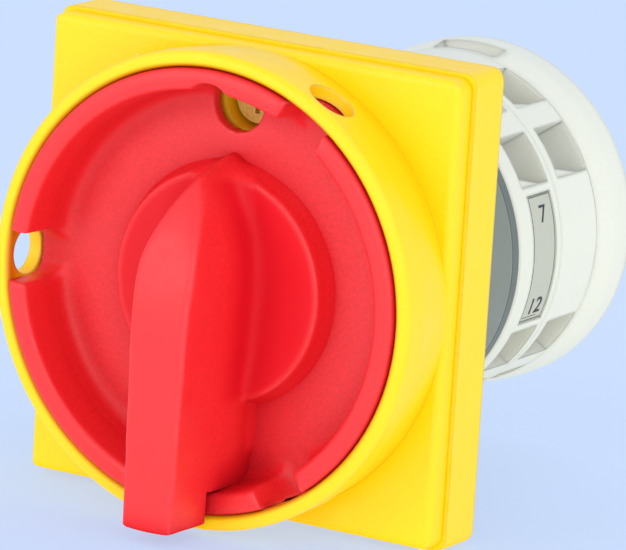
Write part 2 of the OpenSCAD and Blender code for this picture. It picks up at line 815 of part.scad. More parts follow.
module latch_housing() color("slategray") placed() difference() {
    union() {
        chamfered_disc(flange_r, flange_front, flange_back, flange_edge);
        difference() {
            disc_between(latch_r, flange_back - past, latch_back);
            disc_between(latch_r - latch_wall, flange_back, latch_back + past);
        }
        intersection() {
            disc_between(latch_r - latch_wall / 2, flange_back - past, latch_back);
            union() {
                at_radius(tie_at, [90, 270]) disc_between(tie_boss_r, flange_back - past, latch_back);
                four_ways() leaf_holder();
                stop_blocks();
            }
        }
    }
    bore_between(journal_r + turn_gap, flange_front, flange_back);
    at_radius(screw_ring_r, screw_angles) bore_between(screw_r + thread_gap, flange_front, flange_back);
    at_radius(tie_at, [90, 270]) {
        bore_between(tie_r + hole_gap, flange_front, latch_back);
        at_depth(nut_back) cylinder(d = tie_nut_w + 2 * nut_gap, h = tie_nut_h + nut_sunk + past, $fn = 6);
    }
}

// A post with an upright slot that holds one end of a leaf spring
module leaf_holder() {
    pocket_y = hub_w / 2 + leaf_gap - leaf_pocket;
    pocket_w = leaf_t + 2 * leaf_pocket;
    inner = leaf_len / 2 + leaf_end_gap - leaf_hold;
    leaf_back = leaf_depth + leaf_w;
    difference() {
        translate([inner, pocket_y - leaf_holder_wall, -leaf_back])
            cube([leaf_hold + leaf_holder_wall, pocket_w + 2 * leaf_holder_wall,
                leaf_back - flange_back + weld]);
        translate([inner - past, pocket_y, -leaf_back - past])
            cube([leaf_hold + past, pocket_w, leaf_w + past + leaf_end_gap]);
    }
}

// Two blocks that stop the hub's arm at off and at on
module stop_blocks() {
    off_side = arm_rest + stop_angle + stop_gap;
    on_side = arm_rest - turn - stop_angle - stop_gap;
    around([off_side, on_side - stop_block]) at_depth(hub_arm_depth + arm_t)
        sector(journal_r + block_in, latch_r - latch_wall / 2, 0, stop_block, arm_t + arm_clear + past);
}

module latch_hub() color("ivory") placed() difference() {
    union() {
        disc_between(journal_r, flange_front + hub_end_gap, hub_arm_depth + hair);
        disc_between(hub_corner_r, hub_arm_depth, hub_arm_depth + arm_t);
        at_depth(hub_arm_depth + arm_t)
            sector(journal_r - past, stop_arm_r, arm_rest - stop_angle, arm_rest + stop_angle, arm_t);
        intersection() {
            square_bar(hub_w, hub_arm_depth + arm_t - hair, latch_back - hub_end_gap);
            disc_between(hub_corner_r, hub_arm_depth, latch_back);
        }
        disc_between(hub_back_r, latch_back - hub_end_gap - hair, deck_1_front - hub_end_gap);
    }
    square_bar(socket_w, flange_front - past, deck_1_front + past);
}

module leaf_springs() color("lightsteelblue") placed() for (far = [0, 1]) mirror([0, far, 0])
    translate([-leaf_len / 2, hub_w / 2 + leaf_gap, -leaf_depth - leaf_w]) cube([leaf_len, leaf_t, leaf_w]);

module latch_plate() color("dimgray") placed() difference() {
    chamfered_disc(latch_r, latch_back, deck_1_front, seam);
    bore_between(hub_back_r + turn_gap, latch_back, deck_1_front);
    at_radius(tie_at, [90, 270]) bore_between(tie_r + hole_gap, latch_back, deck_1_front);
}

// The flat shape of a terminal strip: the contact's leg, cut off at the slant of the screw's seat
module strip_outline() {
    intersection() {
        translate([strip_face - strip_t, strip_start]) square([strip_t, clamp_at - strip_start]);
        rotate(terminal_angle) translate([-clamp_at, -clamp_at]) square(2 * clamp_at);
    }
    rotate(terminal_angle) translate([clamp_at - strip_t, -strip_half]) square([strip_t, 2 * strip_half]);
}

// Repeats a quarter in all four quarters
module four_ways() {
    for (left = [0, 1], low = [0, 1]) mirror([left, 0, 0]) mirror([0, low, 0]) children();
}

module window(n) {
    from = deck_front(n) + (n == 1 ? window_1_at : window_2_at);
    to = from + (n == 1 ? window_1_len : window_2_len);
    translate([window_floor_r, -window_w / 2, -to]) cube([deck_r, window_w, to - from]);
}

module deck(n) difference() {
    front = deck_front(n);
    back = front + deck_len(n);
    mid = deck_mid(n);
    ledge = mid - bridge_h / 2;
    union() {
        difference() {
            chamfered_disc(deck_r, front, back, seam);
            disc_between(chamber_r, deck_floor(n), back + past);
        }
        at_radius(tie_at, [90, 270]) disc_between(pillar_r, front + weld, back);
        at_radius(tie_at + pillar_r, [90, 270]) translate([-pillar_r, -pillar_r, -back])
            cube([pillar_r, 2 * pillar_r, back - front - weld]);
        four_ways() {
            at_depth(ledge) linear_extrude(ledge - deck_floor(n) + weld) strip_outline();
            translate([rail_start, plunger_w / 2 + rail_gap, rail_drop - ledge])
                cube([chamber_r - rail_start, rail_t, ledge - rail_drop - deck_floor(n) + weld]);
        }
    }
    bore_between(cam_hub_r + turn_gap, front, back);
    four_ways() around([terminal_angle, wire_angle]) window(n);
    at_radius(tie_at, [90, 270]) bore_between(tie_r + hole_gap, front, back);
    four_ways() at_depth(mid) {
        rotate([0, 0, terminal_angle]) rotate([0, 90, 0]) cylinder(r = driver_r, h = deck_r);
        rotate([0, 0, wire_angle]) translate([chamber_r - past, 0, 0]) rotate([0, 90, 0])
            cylinder(r = wire_r, h = deck_r);
    }
    around([0, 180]) translate([chamber_r - past, 0, -mid]) rotate([0, 90, 0])
        cylinder(r = spring_pocket_r, h = spring_pocket_end - chamber_r + past);
}

module deck_1() color("white") placed() difference() {
    deck(1);
    half = marker_angle + marker_side;
    around([0, 180]) at_depth(deck_1_front + marker_at + marker_w + marker_room)
        sector(deck_r - marker_t - marker_sunk, deck_r + past, -half, half, marker_w + 2 * marker_room);
}

module deck_2() color("white") placed() deck(2);

module marker_strips() color("lightgray") placed() around([0, 180])
    at_depth(deck_1_front + marker_at + marker_w)
        sector(deck_r - marker_t - marker_sunk, deck_r - marker_sunk, -marker_angle, marker_angle, marker_w);

// The cam's radius at its own angle a: it falls evenly over the turn and climbs back smoothly
function cam_reach(a) = let (b = a % 180, back = 180 - turn - 2 * cam_dwell)
    b <= turn ? cam_r - travel * b / turn
    : b <= turn + cam_dwell ? cam_r - travel
    : b >= 180 - cam_dwell ? cam_r
    : cam_r - travel * (1 + cos(180 * (b - turn - cam_dwell) / back)) / 2;

module cam_disc(n) difference() {
    front = deck_front(n) + cam_end_gap;
    back = (n == 1 ? deck_2_front : cover_front + cover_web) - cam_end_gap;
    union() {
        disc_between(cam_hub_r, front, back);
        at_depth(deck_mid(n) + cam_t / 2) linear_extrude(cam_t)
            polygon([for (a = [0:cam_step:360 - cam_step]) cam_reach(a) * [cos(a), sin(a)]]);
    }
    square_bar(socket_w, front - past, back + past);
}

module cam_1() color("tan") placed() cam_disc(1);

module cam_2() color("tan") placed() cam_disc(2);

module plunger(n) difference() {
    low = deck_floor(n) + slide_gap;
    high = deck_mid(n) + plunger_over;
    union() {
        translate([nose_at, 0, 0]) disc_between(nose_r, low, high);
        translate([nose_at, -plunger_w / 2, -high]) cube([plunger_len, plunger_w, high - low]);
        translate([nose_at + plunger_len - weld, 0, -deck_mid(n)]) rotate([0, 90, 0])
            cylinder(r = spigot_pin_r, h = spigot_pin_h + weld);
    }
    translate([bridge_x - bridge_room, -plunger_w, -deck_mid(n) - bridge_h / 2 - bridge_room])
        cube([bridge_t + 2 * bridge_room, 2 * plunger_w, bridge_h + 2 * bridge_room]);
}

module bridge(n) at_depth(deck_mid(n)) {
    translate([bridge_x, -bridge_half, -bridge_h / 2]) cube([bridge_t, 2 * bridge_half, bridge_h]);
    for (y = [-1, 1]) translate([bridge_x - tip_t, y * tip_at, 0]) rotate([0, 90, 0])
        cylinder(r = tip_r, h = tip_t + hair);
}

// A wire swept along a helix, with its ends cut square
function coil_point(i, per_turn, length) = let (a = 360 * i / per_turn)
    [length * i / (per_turn * spring_turns), spring_r * cos(a), spring_r * sin(a)];
function coil_ring(i, per_turn, length, sides) =
    let (a = 360 * i / per_turn, c = coil_point(i, per_turn, length))
    [for (k = [0:sides - 1]) let (b = 360 * k / sides)
        c + wire_spring_r * [sin(b), cos(b) * cos(a), cos(b) * sin(a)]];

module contact_spring(n) {
    from = nose_at + plunger_len + spring_seat_gap + wire_spring_r;
    length = spring_pocket_end - spring_seat_gap - wire_spring_r - from;
    translate([from, 0, -deck_mid(n)])
        skin([for (i = [0:coil_steps * spring_turns]) coil_ring(i, coil_steps, length, wire_sides)]);
}

module plunger_1_right() color("ivory") placed() plunger(1);
module plunger_1_left() color("ivory") placed() rotate([0, 0, 180]) plunger(1);
module plunger_2_right() color("ivory") placed() plunger(2);
module plunger_2_left() color("ivory") placed() rotate([0, 0, 180]) plunger(2);
module bridge_1_right() color("peru") placed() bridge(1);
module bridge_1_left() color("peru") placed() rotate([0, 0, 180]) bridge(1);
module bridge_2_right() color("peru") placed() bridge(2);
module bridge_2_left() color("peru") placed() rotate([0, 0, 180]) bridge(2);
module spring_1_right() color("silver") placed() contact_spring(1);
module spring_1_left() color("silver") placed() rotate([0, 0, 180]) contact_spring(1);
module spring_2_right() color("silver") placed() contact_spring(2);
module spring_2_left() color("silver") placed() rotate([0, 0, 180]) contact_spring(2);

module terminals(n) four_ways() at_depth(deck_mid(n)) {
    difference() {
        translate([0, 0, -bridge_h / 2]) linear_extrude(bridge_h) strip_outline();
        rotate([0, 0, terminal_angle]) rotate([0, 90, 0]) cylinder(r = term_screw_r + hole_gap, h = deck_r);
    }
    translate([strip_face - hair, tip_at, 0]) rotate([0, 90, 0]) cylinder(r = tip_r, h = tip_t + hair);
}

module clamps(n) four_ways() at_depth(deck_mid(n)) rotate([0, 0, terminal_angle]) difference() {
    translate([clamp_at, -clamp_w / 2, -clamp_w / 2]) cube([clamp_t, clamp_w, clamp_w]);
    rotate([0, 90, 0]) cylinder(r = term_screw_r + hole_gap, h = deck_r);
}

module terminal_screws(n) four_ways() at_depth(deck_mid(n)) rotate([0, 0, terminal_angle]) difference() {
    rotate([0, 90, 0]) union() {
        translate([0, 0, clamp_at + clamp_t]) cylinder(r = term_head_r, h = term_head_h);
        translate([0, 0, clamp_at + clamp_t - term_screw_len])
            cylinder(r = term_screw_r, h = term_screw_len + weld);
    }
    translate([clamp_at + clamp_t + term_head_h - slot_deep, -term_head_r - past, -slot_w / 2])
        cube([slot_deep + past, 2 * (term_head_r + past), slot_w]);
}

module terminals_1() color("goldenrod") placed() terminals(1);
module terminals_2() color("goldenrod") placed() terminals(2);
module clamps_1() color("silver") placed() clamps(1);
module clamps_2() color("silver") placed() clamps(2);
module terminal_screws_1() color("silver") placed() terminal_screws(1);
module terminal_screws_2() color("silver") placed() terminal_screws(2);

module cover_profile() {
    polygon([[0, 0], [cover_r - cover_edge, 0], [cover_r, cover_edge], [cover_r, cover_len * cover_straight],
        [deck_r, cover_len - seam], [deck_r - seam, cover_len], [0, cover_len]]);
    translate([cover_r - cover_edge, cover_edge]) circle(cover_edge);
}

module rear_cover() color("white") placed() difference() {
    at_depth(cover_back) rotate_extrude() cover_profile();
    difference() {
        disc_between(deck_r - cover_wall, cover_front + cover_web, cover_back + past);
        disc_between(cam_hub_r + cover_hub_wall, cover_front, cover_back - cover_hub_back);
        at_radius(tie_at, [90, 270]) disc_between(tie_boss_r, cover_front, tie_seat);
        around([0:45:315]) translate([cam_hub_r, -cover_rib_t / 2, cover_rib_back - cover_back])
            cube([deck_r - cam_hub_r, cover_rib_t, cover_len - cover_rib_back - weld]);
    }
    around([90, 270]) at_depth(cover_front + cover_slot_at + cover_slot_len)
        sector(deck_r - cover_slot_deep, cover_r + past, -cover_slot_angle, cover_slot_angle, cover_slot_len);
    at_radius(tie_at, [90, 270]) {
        bore_between(tie_r + hole_gap, cover_front, tie_seat);
        disc_between(tie_head_r + bolt_head_gap, tie_seat, cover_back);
    }
    disc_between(cam_hub_r + turn_gap, cover_front - past, shaft_end + past);
}

module tie_bolts() color("silver") placed() at_radius(tie_at, [90, 270]) difference() {
    union() {
        disc_between(tie_r, flange_front + bolt_end_gap, tie_seat + hair);
        disc_between(tie_head_r, tie_seat, tie_seat + tie_head_h);
    }
    translate([-tie_head_r - past, -slot_w / 2, -tie_seat - tie_head_h - past])
        cube([2 * (tie_head_r + past), slot_w, slot_deep + past]);
}

module tie_nuts() color("silver") placed() at_radius(tie_at, [90, 270]) difference() {
    at_depth(nut_back) cylinder(d = tie_nut_w, h = tie_nut_h, $fn = 6);
    bore_between(tie_r + thread_gap, flange_front, nut_back);
}

front_plate();
base_frame();
panel_gasket();
mounting_screws();
locking_disc();
grip();
grip_screws();
shaft_seal();
retaining_clip();
drive_shaft();
latch_housing();
latch_hub();
leaf_springs();
latch_plate();
deck_1();
deck_2();
rear_cover();
cam_1();
cam_2();
plunger_1_right();
plunger_1_left();
plunger_2_right();
plunger_2_left();
bridge_1_right();
bridge_1_left();
bridge_2_right();
bridge_2_left();
spring_1_right();
spring_1_left();
spring_2_right();
spring_2_left();
terminals_1();
terminals_2();
clamps_1();
clamps_2();
terminal_screws_1();
terminal_screws_2();
marker_strips();
tie_bolts();
tie_nuts();
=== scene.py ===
# %% [markdown]
# This lesson dresses a padlockable rotary main switch. A square yellow front carries a round
# collar, and a red locking disc with a grip turns inside it. Behind the panel follow a grey latch,
# two white contact decks and a rear cover. A scene can be built from nothing, but here the packed
# CAD part is loaded first and left where it is, because it already holds the sizes and joints.
# Blender adds the finishes, the soft moulded forms and the print.

# %% Load the frame
import json
import math

import bmesh
import bpy
from mathutils import Matrix, Vector


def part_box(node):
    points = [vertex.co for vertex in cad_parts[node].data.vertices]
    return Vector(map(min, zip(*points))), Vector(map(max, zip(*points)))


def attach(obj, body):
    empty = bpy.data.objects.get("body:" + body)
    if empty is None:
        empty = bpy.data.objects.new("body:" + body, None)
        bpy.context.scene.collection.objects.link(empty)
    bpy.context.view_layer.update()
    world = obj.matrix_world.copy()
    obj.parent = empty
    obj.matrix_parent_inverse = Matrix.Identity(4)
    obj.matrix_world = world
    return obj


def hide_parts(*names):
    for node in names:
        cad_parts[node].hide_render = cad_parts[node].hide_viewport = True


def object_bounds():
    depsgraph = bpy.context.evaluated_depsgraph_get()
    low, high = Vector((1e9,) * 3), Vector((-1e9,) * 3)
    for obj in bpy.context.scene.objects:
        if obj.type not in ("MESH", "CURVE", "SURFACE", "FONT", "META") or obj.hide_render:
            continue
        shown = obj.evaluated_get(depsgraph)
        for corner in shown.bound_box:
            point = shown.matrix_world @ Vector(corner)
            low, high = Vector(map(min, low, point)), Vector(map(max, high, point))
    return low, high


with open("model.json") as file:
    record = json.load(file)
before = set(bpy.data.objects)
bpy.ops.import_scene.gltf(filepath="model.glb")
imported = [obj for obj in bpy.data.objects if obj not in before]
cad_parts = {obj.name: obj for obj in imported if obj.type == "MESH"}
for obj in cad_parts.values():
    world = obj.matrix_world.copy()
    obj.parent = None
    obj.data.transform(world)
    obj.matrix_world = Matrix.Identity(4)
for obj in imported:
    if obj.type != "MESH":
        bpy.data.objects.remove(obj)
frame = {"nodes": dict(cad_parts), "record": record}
nodes = frame["nodes"]
cad_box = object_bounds()
scene = bpy.context.scene
MM = 0.001
print("nodes", len(nodes), "CAD box in mm", [[round(v / MM, 1) for v in corner] for corner in cad_box])

# %% [markdown]
# The pieces below need a few sizes of the real switch. They could all be typed in again, but a
# typed size goes wrong when the CAD part changes, so the main ones are read from the boxes of the
# CAD nodes. What lies inside a box and not on its side, such as the disc's floor and the top of
# the boss, is still typed. Heights are counted from the panel towards the hand.

# %% Sizes of the real switch


def side_mm(node, end, axis):
    """One side of a CAD node's box in mm: end 0 is its low side and end 1 its high side."""
    return round(getattr(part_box(node)[end], axis) / MM, 2)


GRIP_TOP = -side_mm("grip", 0, "y")
BOSS_R = side_mm("grip", 1, "x")
DISC_R = side_mm("locking_disc", 1, "x")
DECKS_END = side_mm("deck_2", 1, "y")
DISC_FLOOR, BOSS_TOP = 13.3, 16.4
print("heights in mm: disc floor", DISC_FLOOR, "boss", BOSS_TOP, "grip", GRIP_TOP)
print("radii in mm: boss", BOSS_R, "disc", DISC_R, "and the decks end", DECKS_END, "behind the panel")

# %% [markdown]
# The photograph was taken from far away with a long lens, so the square front looks almost
# parallel. A camera can be placed by eye and nudged, but its place and turn were worked out here
# from measured corners of the front and circles of the collar. It stands 30 degrees round to the
# right, 13 degrees above, and is rolled by 3.6 degrees.

# %% Camera
AZIMUTH, ELEVATION, ROLL = map(math.radians, (30.252, 12.817, 3.629))
FOCAL_PX, IMAGE_W, SENSOR_MM = 6568, 626, 36
CAMERA_PLACE = Vector((434.3, -735.8, 193.6)) * MM
CAMERA_NEAR, CAMERA_FAR = 0.01, 20

ahead = Vector((-math.sin(AZIMUTH) * math.cos(ELEVATION), math.cos(AZIMUTH) * math.cos(ELEVATION),
                -math.sin(ELEVATION)))
level = Vector((math.cos(AZIMUTH), math.sin(AZIMUTH), 0))
above = level.cross(ahead)
right = math.cos(ROLL) * level + math.sin(ROLL) * above
up = math.cos(ROLL) * above - math.sin(ROLL) * level

camera_data = bpy.data.cameras.new("camera")
camera_data.sensor_width = SENSOR_MM
camera_data.lens = FOCAL_PX * SENSOR_MM / IMAGE_W
camera_data.clip_start, camera_data.clip_end = CAMERA_NEAR, CAMERA_FAR
camera = bpy.data.objects.new("camera", camera_data)
scene.collection.objects.link(camera)
turned = Matrix((right, up, -ahead)).transposed().to_4x4()
camera.matrix_world = Matrix.Translation(CAMERA_PLACE) @ turned
scene.camera = camera
print("lens", round(camera_data.lens, 1), "mm, distance", round(CAMERA_PLACE.length, 3), "m")

# %% [markdown]
# Colours are given as numbers from 0 to 255, but Blender mixes light, which needs
# linear numbers. The first could be turned into the second by hand, once for each colour. One
# small helper does it instead, and another makes a shade of a colour, so that each finish below
# can be written down as the colour one sees.

# %% Colours


def linear(r, g, b):
    """A colour picked as 0-255, as the linear numbers that Blender uses."""
    out = []
    for v in (r, g, b):
        v /= 255
        out.append(v / 12.92 if v <= 0.04045 else ((v + 0.055) / 1.055) ** 2.4)
    return (*out, 1.0)


def shade(colour, factor):
    """The same colour, darker or lighter by a factor."""
    return tuple(min(1.0, c * factor) for c in colour[:3]) + (1.0,)


COLLAR_YELLOW = linear(252, 212, 15)
GRIP_RED = linear(238, 38, 46)
DECK_WHITE = linear(219, 223, 217)
print("collar yellow in linear numbers", [round(v, 3) for v in COLLAR_YELLOW])

# %% [markdown]
# A finish is a tree of nodes. It can be wired by hand in the editor, but in code a tree for each of
# fifteen finishes would be long. This small class keeps the tree, the shader and the place on the
# object together, and wires a value or a socket into an input in one line. The place is in metres
# on the part itself, so a grain keeps its real size and turns with the handle.

# %% The node bench


class Finish:
    """One material's tree, with its shader and the place on the object."""

    def __init__(self, name):
        self.material = bpy.data.materials.new(name)
        self.material.use_nodes = True
        self.tree = self.material.node_tree
        self.tree.nodes.clear()
        self.out = self.add("ShaderNodeOutputMaterial")
        self.shader = self.add("ShaderNodeBsdfPrincipled")
        self.link(self.shader.outputs["BSDF"], self.out.inputs["Surface"])
        self.place = self.add("ShaderNodeTexCoord").outputs["Object"]

    def add(self, kind, **settings):
        """A new node of a kind, with its settings."""
        node = self.tree.nodes.new(kind)
        for key, value in settings.items():
            setattr(node, key, value)
        return node

    def link(self, a, b):
        """Wires output a into input b."""
        self.tree.links.new(a, b)

    def fill(self, sockets, values):
        """Wires sockets and sets plain values, whichever each one is."""
        for socket, value in zip(sockets, values):
            if hasattr(value, "is_linked"):
                self.link(value, socket)
            else:
                socket.default_value = value

    def spread(self, value, low, high, out_low=0.0, out_high=1.0):
        """The part of a value between low and high, stretched to a new range."""
        node = self.add("ShaderNodeMapRange")
        self.fill(node.inputs, (value, low, high, out_low, out_high))
        return node.outputs["Result"]

    def tint(self, amount, a, b):
        """Colour a where the amount is 0 and colour b where it is 1."""
        node = self.add("ShaderNodeMix", data_type="RGBA")
        self.fill((node.inputs["Factor"], node.inputs[6], node.inputs[7]), (amount, a, b))
        return node.outputs[2]

    def work(self, operation, a, b=0.0):
        """A sum, product or test of one or two values."""
        node = self.add("ShaderNodeMath", operation=operation)
        self.fill(node.inputs, (a, b))
        return node.outputs[0]

    def both(self, a, b):
        """The product of two amounts, so 1 only where both are."""
        return self.work("MULTIPLY", a, b)


print("node bench ready:", Finish.__doc__)

# %% [markdown]
# Moulded plastic is never one colour. The pigment drifts a little over centimetres, the etched
# mould leaves a fine grain, and dust sits on it as a few pale specks. A painted picture could show
# all three, but noise gives the first two at any size. The specks come from a cell pattern in
# which one cell in so many holds a small dot, because noise alone would give smears and not
# round grains. Noise keeps to the middle of its range, so it is always stretched from there.

# %% Mottling, grain and dust
SOFT_NOISE, CRISP_NOISE = (0.3, 0.7), (0.35, 0.65)
DUST_CELL_MM, DUST_GRAIN_MM = 3.0, 0.16


def mottling(finish, size_mm, detail=3.0, stretch=(1, 1, 1)):
    """Noise from 0 to 1 whose lumps are about so many millimetres across."""
    mapping = finish.add("ShaderNodeMapping")
    finish.link(finish.place, mapping.inputs["Vector"])
    mapping.inputs["Scale"].default_value = stretch
    noise = finish.add("ShaderNodeTexNoise")
    finish.link(mapping.outputs["Vector"], noise.inputs["Vector"])
    noise.inputs["Scale"].default_value = 1 / (size_mm * MM)
    noise.inputs["Detail"].default_value = detail
    return noise.outputs["Fac"]


def dust_grains(finish, share):
    """1 inside small round grains of several sizes, in that share of the cells."""
    cells = finish.add("ShaderNodeTexVoronoi", feature="F1")
    finish.link(finish.place, cells.inputs["Vector"])
    cells.inputs["Scale"].default_value = 1 / (DUST_CELL_MM * MM)
    parts = finish.add("ShaderNodeSeparateColor")
    finish.link(cells.outputs["Color"], parts.inputs[0])
    chosen = finish.work("LESS_THAN", parts.outputs[0], share)
    largest = DUST_GRAIN_MM / DUST_CELL_MM
    size = finish.spread(parts.outputs[1], 0, 1, 0.5 * largest, largest)
    return finish.both(chosen, finish.work("LESS_THAN", cells.outputs["Distance"], size))


def grain_bump(finish, height, strength, depth_mm, normal):
    """The normal of a skin with so deep a grain."""
    node = finish.add("ShaderNodeBump")
    finish.link(height, node.inputs["Height"])
    node.inputs["Strength"].default_value = strength
    node.inputs["Distance"].default_value = depth_mm * MM
    finish.link(normal, node.inputs["Normal"])
    return node.outputs["Normal"]


print("dust grains of up to", DUST_GRAIN_MM, "mm in cells of", DUST_CELL_MM, "mm")

# %% [markdown]
# Hands and tools polish the outer edges of a switch, and shade is painted into its inner corners.
# Outer edges can be found with the Bevel node, but it marks inner corners as well. Ambient Occlusion
# that looks into the material finds only outer edges, and the same node looking outwards finds
# only the corners where light doesn't reach, which get the painted shade. Bevel still rounds the
# normal, so that each edge catches a line of light.

# %% Worn edges and shaded corners
EDGE_OPENNESS = (0.92, 0.6)
CORNER_OPENNESS = (0.95, 0.35)


def rounded(finish, radius_mm):
    """The normal with every edge softened by so many millimetres."""
    bevel = finish.add("ShaderNodeBevel", samples=4)
    bevel.inputs["Radius"].default_value = radius_mm * MM
    return bevel.outputs["Normal"]


def worn_edges(finish, reach_mm):
    """1 along outer edges and 0 on open skin."""
    node = finish.add("ShaderNodeAmbientOcclusion", samples=6, inside=True, only_local=True)
    node.inputs["Distance"].default_value = reach_mm * MM
    return finish.spread(node.outputs["AO"], *EDGE_OPENNESS)


def shaded_corners(finish, reach_mm):
    """1 deep in inner corners and 0 on open skin: the mask for painted shade."""
    node = finish.add("ShaderNodeAmbientOcclusion", samples=6)
    node.inputs["Distance"].default_value = reach_mm * MM
    return finish.spread(node.outputs["AO"], *CORNER_OPENNESS)


print("an edge starts at openness", EDGE_OPENNESS[0], "and a corner at", CORNER_OPENNESS[0])

# %% [markdown]
# Some painted shade belongs to one place on the switch. Where the last deck and the rear cover are
# joined, a shadow line is painted in patches along the seam. The hollow on the boss is matt and a
# deeper red, which is partly painted shade in the valley beside the flanks. The collar's inner lip
# is painted brown, as painted shade with a painted reflection of the red disc. Each could be a mesh
# of its own with its own finish, but that would leave a hard border. A seam lies at one depth along
# the shaft, and the other two are rings about it, so a depth or a radius and a height find them and
# let them fade out.

# %% Painted shade at the seam and in the rings
SEAM_HALF_MM, SEAM_PATCH_MM, SEAM_PATCHES = 0.13, 9, (0.42, 0.56)


def seam_shadow_line(finish, depth_mm):
    """1 in patches along the seam that lies so far behind the panel, where a shadow line is painted.
    """
    parts = finish.add("ShaderNodeSeparateXYZ")
    finish.link(finish.place, parts.inputs[0])
    away = finish.work("ABSOLUTE", finish.work("SUBTRACT", parts.outputs["Y"], depth_mm * MM))
    line = finish.spread(away, SEAM_HALF_MM * MM, 0.4 * SEAM_HALF_MM * MM)
    return finish.both(line, finish.spread(mottling(finish, SEAM_PATCH_MM, 2), *SEAM_PATCHES))


def ring_zone(finish, radii, heights):
    """0 up to the first radius and height, 1 from the second on, and even between, in mm."""
    parts = finish.add("ShaderNodeSeparateXYZ")
    finish.link(finish.place, parts.inputs[0])
    flat = finish.add("ShaderNodeCombineXYZ")
    finish.fill(flat.inputs, (parts.outputs["X"], 0, parts.outputs["Z"]))
    length = finish.add("ShaderNodeVectorMath", operation="LENGTH")
    finish.link(flat.outputs[0], length.inputs[0])
    across = finish.spread(length.outputs["Value"], radii[0] * MM, radii[1] * MM)
    along = finish.spread(parts.outputs["Y"], -heights[0] * MM, -heights[1] * MM)
    return finish.both(across, along)


# Painted shade on the collar's inner lip, with a painted brown reflection of the red disc.
LIP_SHADE_RING = dict(radii=(30.4, 29.75), heights=(17.0, 20.0), colour=linear(200, 112, 12), dull=0.0)
# A deeper matt red on the boss's hollow, partly painted shade beside the grip's flanks.
HOLLOW_RING = dict(radii=(15.4, 14.4), heights=(22.0, 18.0), colour=linear(221, 24, 38), dull=0.6)
print("rings about the shaft in mm: lip", LIP_SHADE_RING["radii"], "hollow", HOLLOW_RING["radii"])

# %% [markdown]
# All the plastics share one recipe: pigment, grain, wear on the edges, painted shade in the inner
# corners, dust, uneven gloss and a soft edge. They could be twelve copies with other numbers, but
# then a change would have to be made twelve times. So there is one function, and each moulding
# below gives it its own numbers. The shine fades in the corners, where a lamp isn't mirrored on the
# real switch.

# %% Moulded plastic
DRIFT_MM, PIGMENT_MM, RUBBED_MM, GLOSS_MM = 16, 0.4, 2.5, 3.0
EDGE_REACH_MM, GRAIN_DEPTH_MM = 0.5, 0.02
PALE_DUST = linear(240, 226, 220)


def pigment(finish, colour, drift, fine):
    """The colour with its slow drift and its fine darker grains."""
    slow = finish.spread(mottling(finish, DRIFT_MM, 2), *SOFT_NOISE)
    tone = finish.tint(slow, shade(colour, 1 - drift), shade(colour, 1 + drift))
    grains = finish.spread(mottling(finish, PIGMENT_MM, 3), *CRISP_NOISE)
    return finish.tint(grains, tone, shade(colour, 1 - 2 * fine))


def rubbed(finish, tone, colour, wear):
    """The tone, paler in patches where the edges are rubbed."""
    patches = finish.spread(mottling(finish, RUBBED_MM, 4), *CRISP_NOISE, 0.25 * wear, wear)
    pale = tuple(c + (1 - c) * 0.3 for c in colour[:3]) + (1.0,)
    return finish.tint(finish.both(worn_edges(finish, EDGE_REACH_MM), patches), tone, pale)


def moulded(name, colour, gloss=(0.34, 0.46), grain_mm=0.3, grain=0.2, drift=0.03, fine=0.02,
            wear=0.25, edge_mm=0.25, shine=0.4, corner=0.8, corner_mm=4.0, painted_shade_colour=None,
            dust=0.02, dust_colour=PALE_DUST, seam=None, dull_from=0.8, ring=None):
    """A plastic skin. What ends in _mm is a length, and the other numbers are shares."""
    finish = Finish(name)
    tone = pigment(finish, colour, drift, fine)
    hidden = shaded_corners(finish, corner_mm)
    sheen = finish.spread(hidden, 0, dull_from, shine, 0)
    if ring:
        zone = ring_zone(finish, ring["radii"], ring["heights"])
        # The ring's colour is painted in: shade and a red reflection on the lip, partly shade in the
        # hollow.
        tone = finish.tint(zone, tone, ring["colour"])
        sheen = finish.both(sheen, finish.spread(zone, 0, 1, 1, 1 - ring["dull"]))
    # Painted shade: inner corners darken towards the painted shade colour.
    tone = finish.tint(finish.both(hidden, corner), tone, painted_shade_colour or shade(colour, 0.6))
    if seam:
        # A shadow line painted in patches along the seam.
        tone = finish.tint(seam_shadow_line(finish, seam), tone, shade(colour, 0.3))
    tone = rubbed(finish, tone, colour, wear)
    tone = finish.tint(dust_grains(finish, dust), tone, dust_colour)
    roughness = finish.spread(mottling(finish, GLOSS_MM, 4), *SOFT_NOISE, *gloss)
    grained = grain_bump(finish, mottling(finish, grain_mm, 3), grain, GRAIN_DEPTH_MM,
                         rounded(finish, edge_mm))
    skin = finish.shader.inputs
    finish.link(tone, skin["Base Color"])
    finish.link(roughness, skin["Roughness"])
    finish.link(grained, skin["Normal"])
    finish.link(sheen, skin["Specular IOR Level"])
    return finish.material


print("one recipe, with a pigment that drifts over", DRIFT_MM, "mm")

# %% [markdown]
# The front is a clear warm yellow with softly rounded edges. The disc and the grip are the same
# red, but the dish's floor was etched with a finer, rougher grain in the mould, and the grip goes
# dull sooner in its corners. One red could serve for all three and be told apart by light alone,
# but a floor that scatters more light looks paler in the photograph, so it has its own finish.

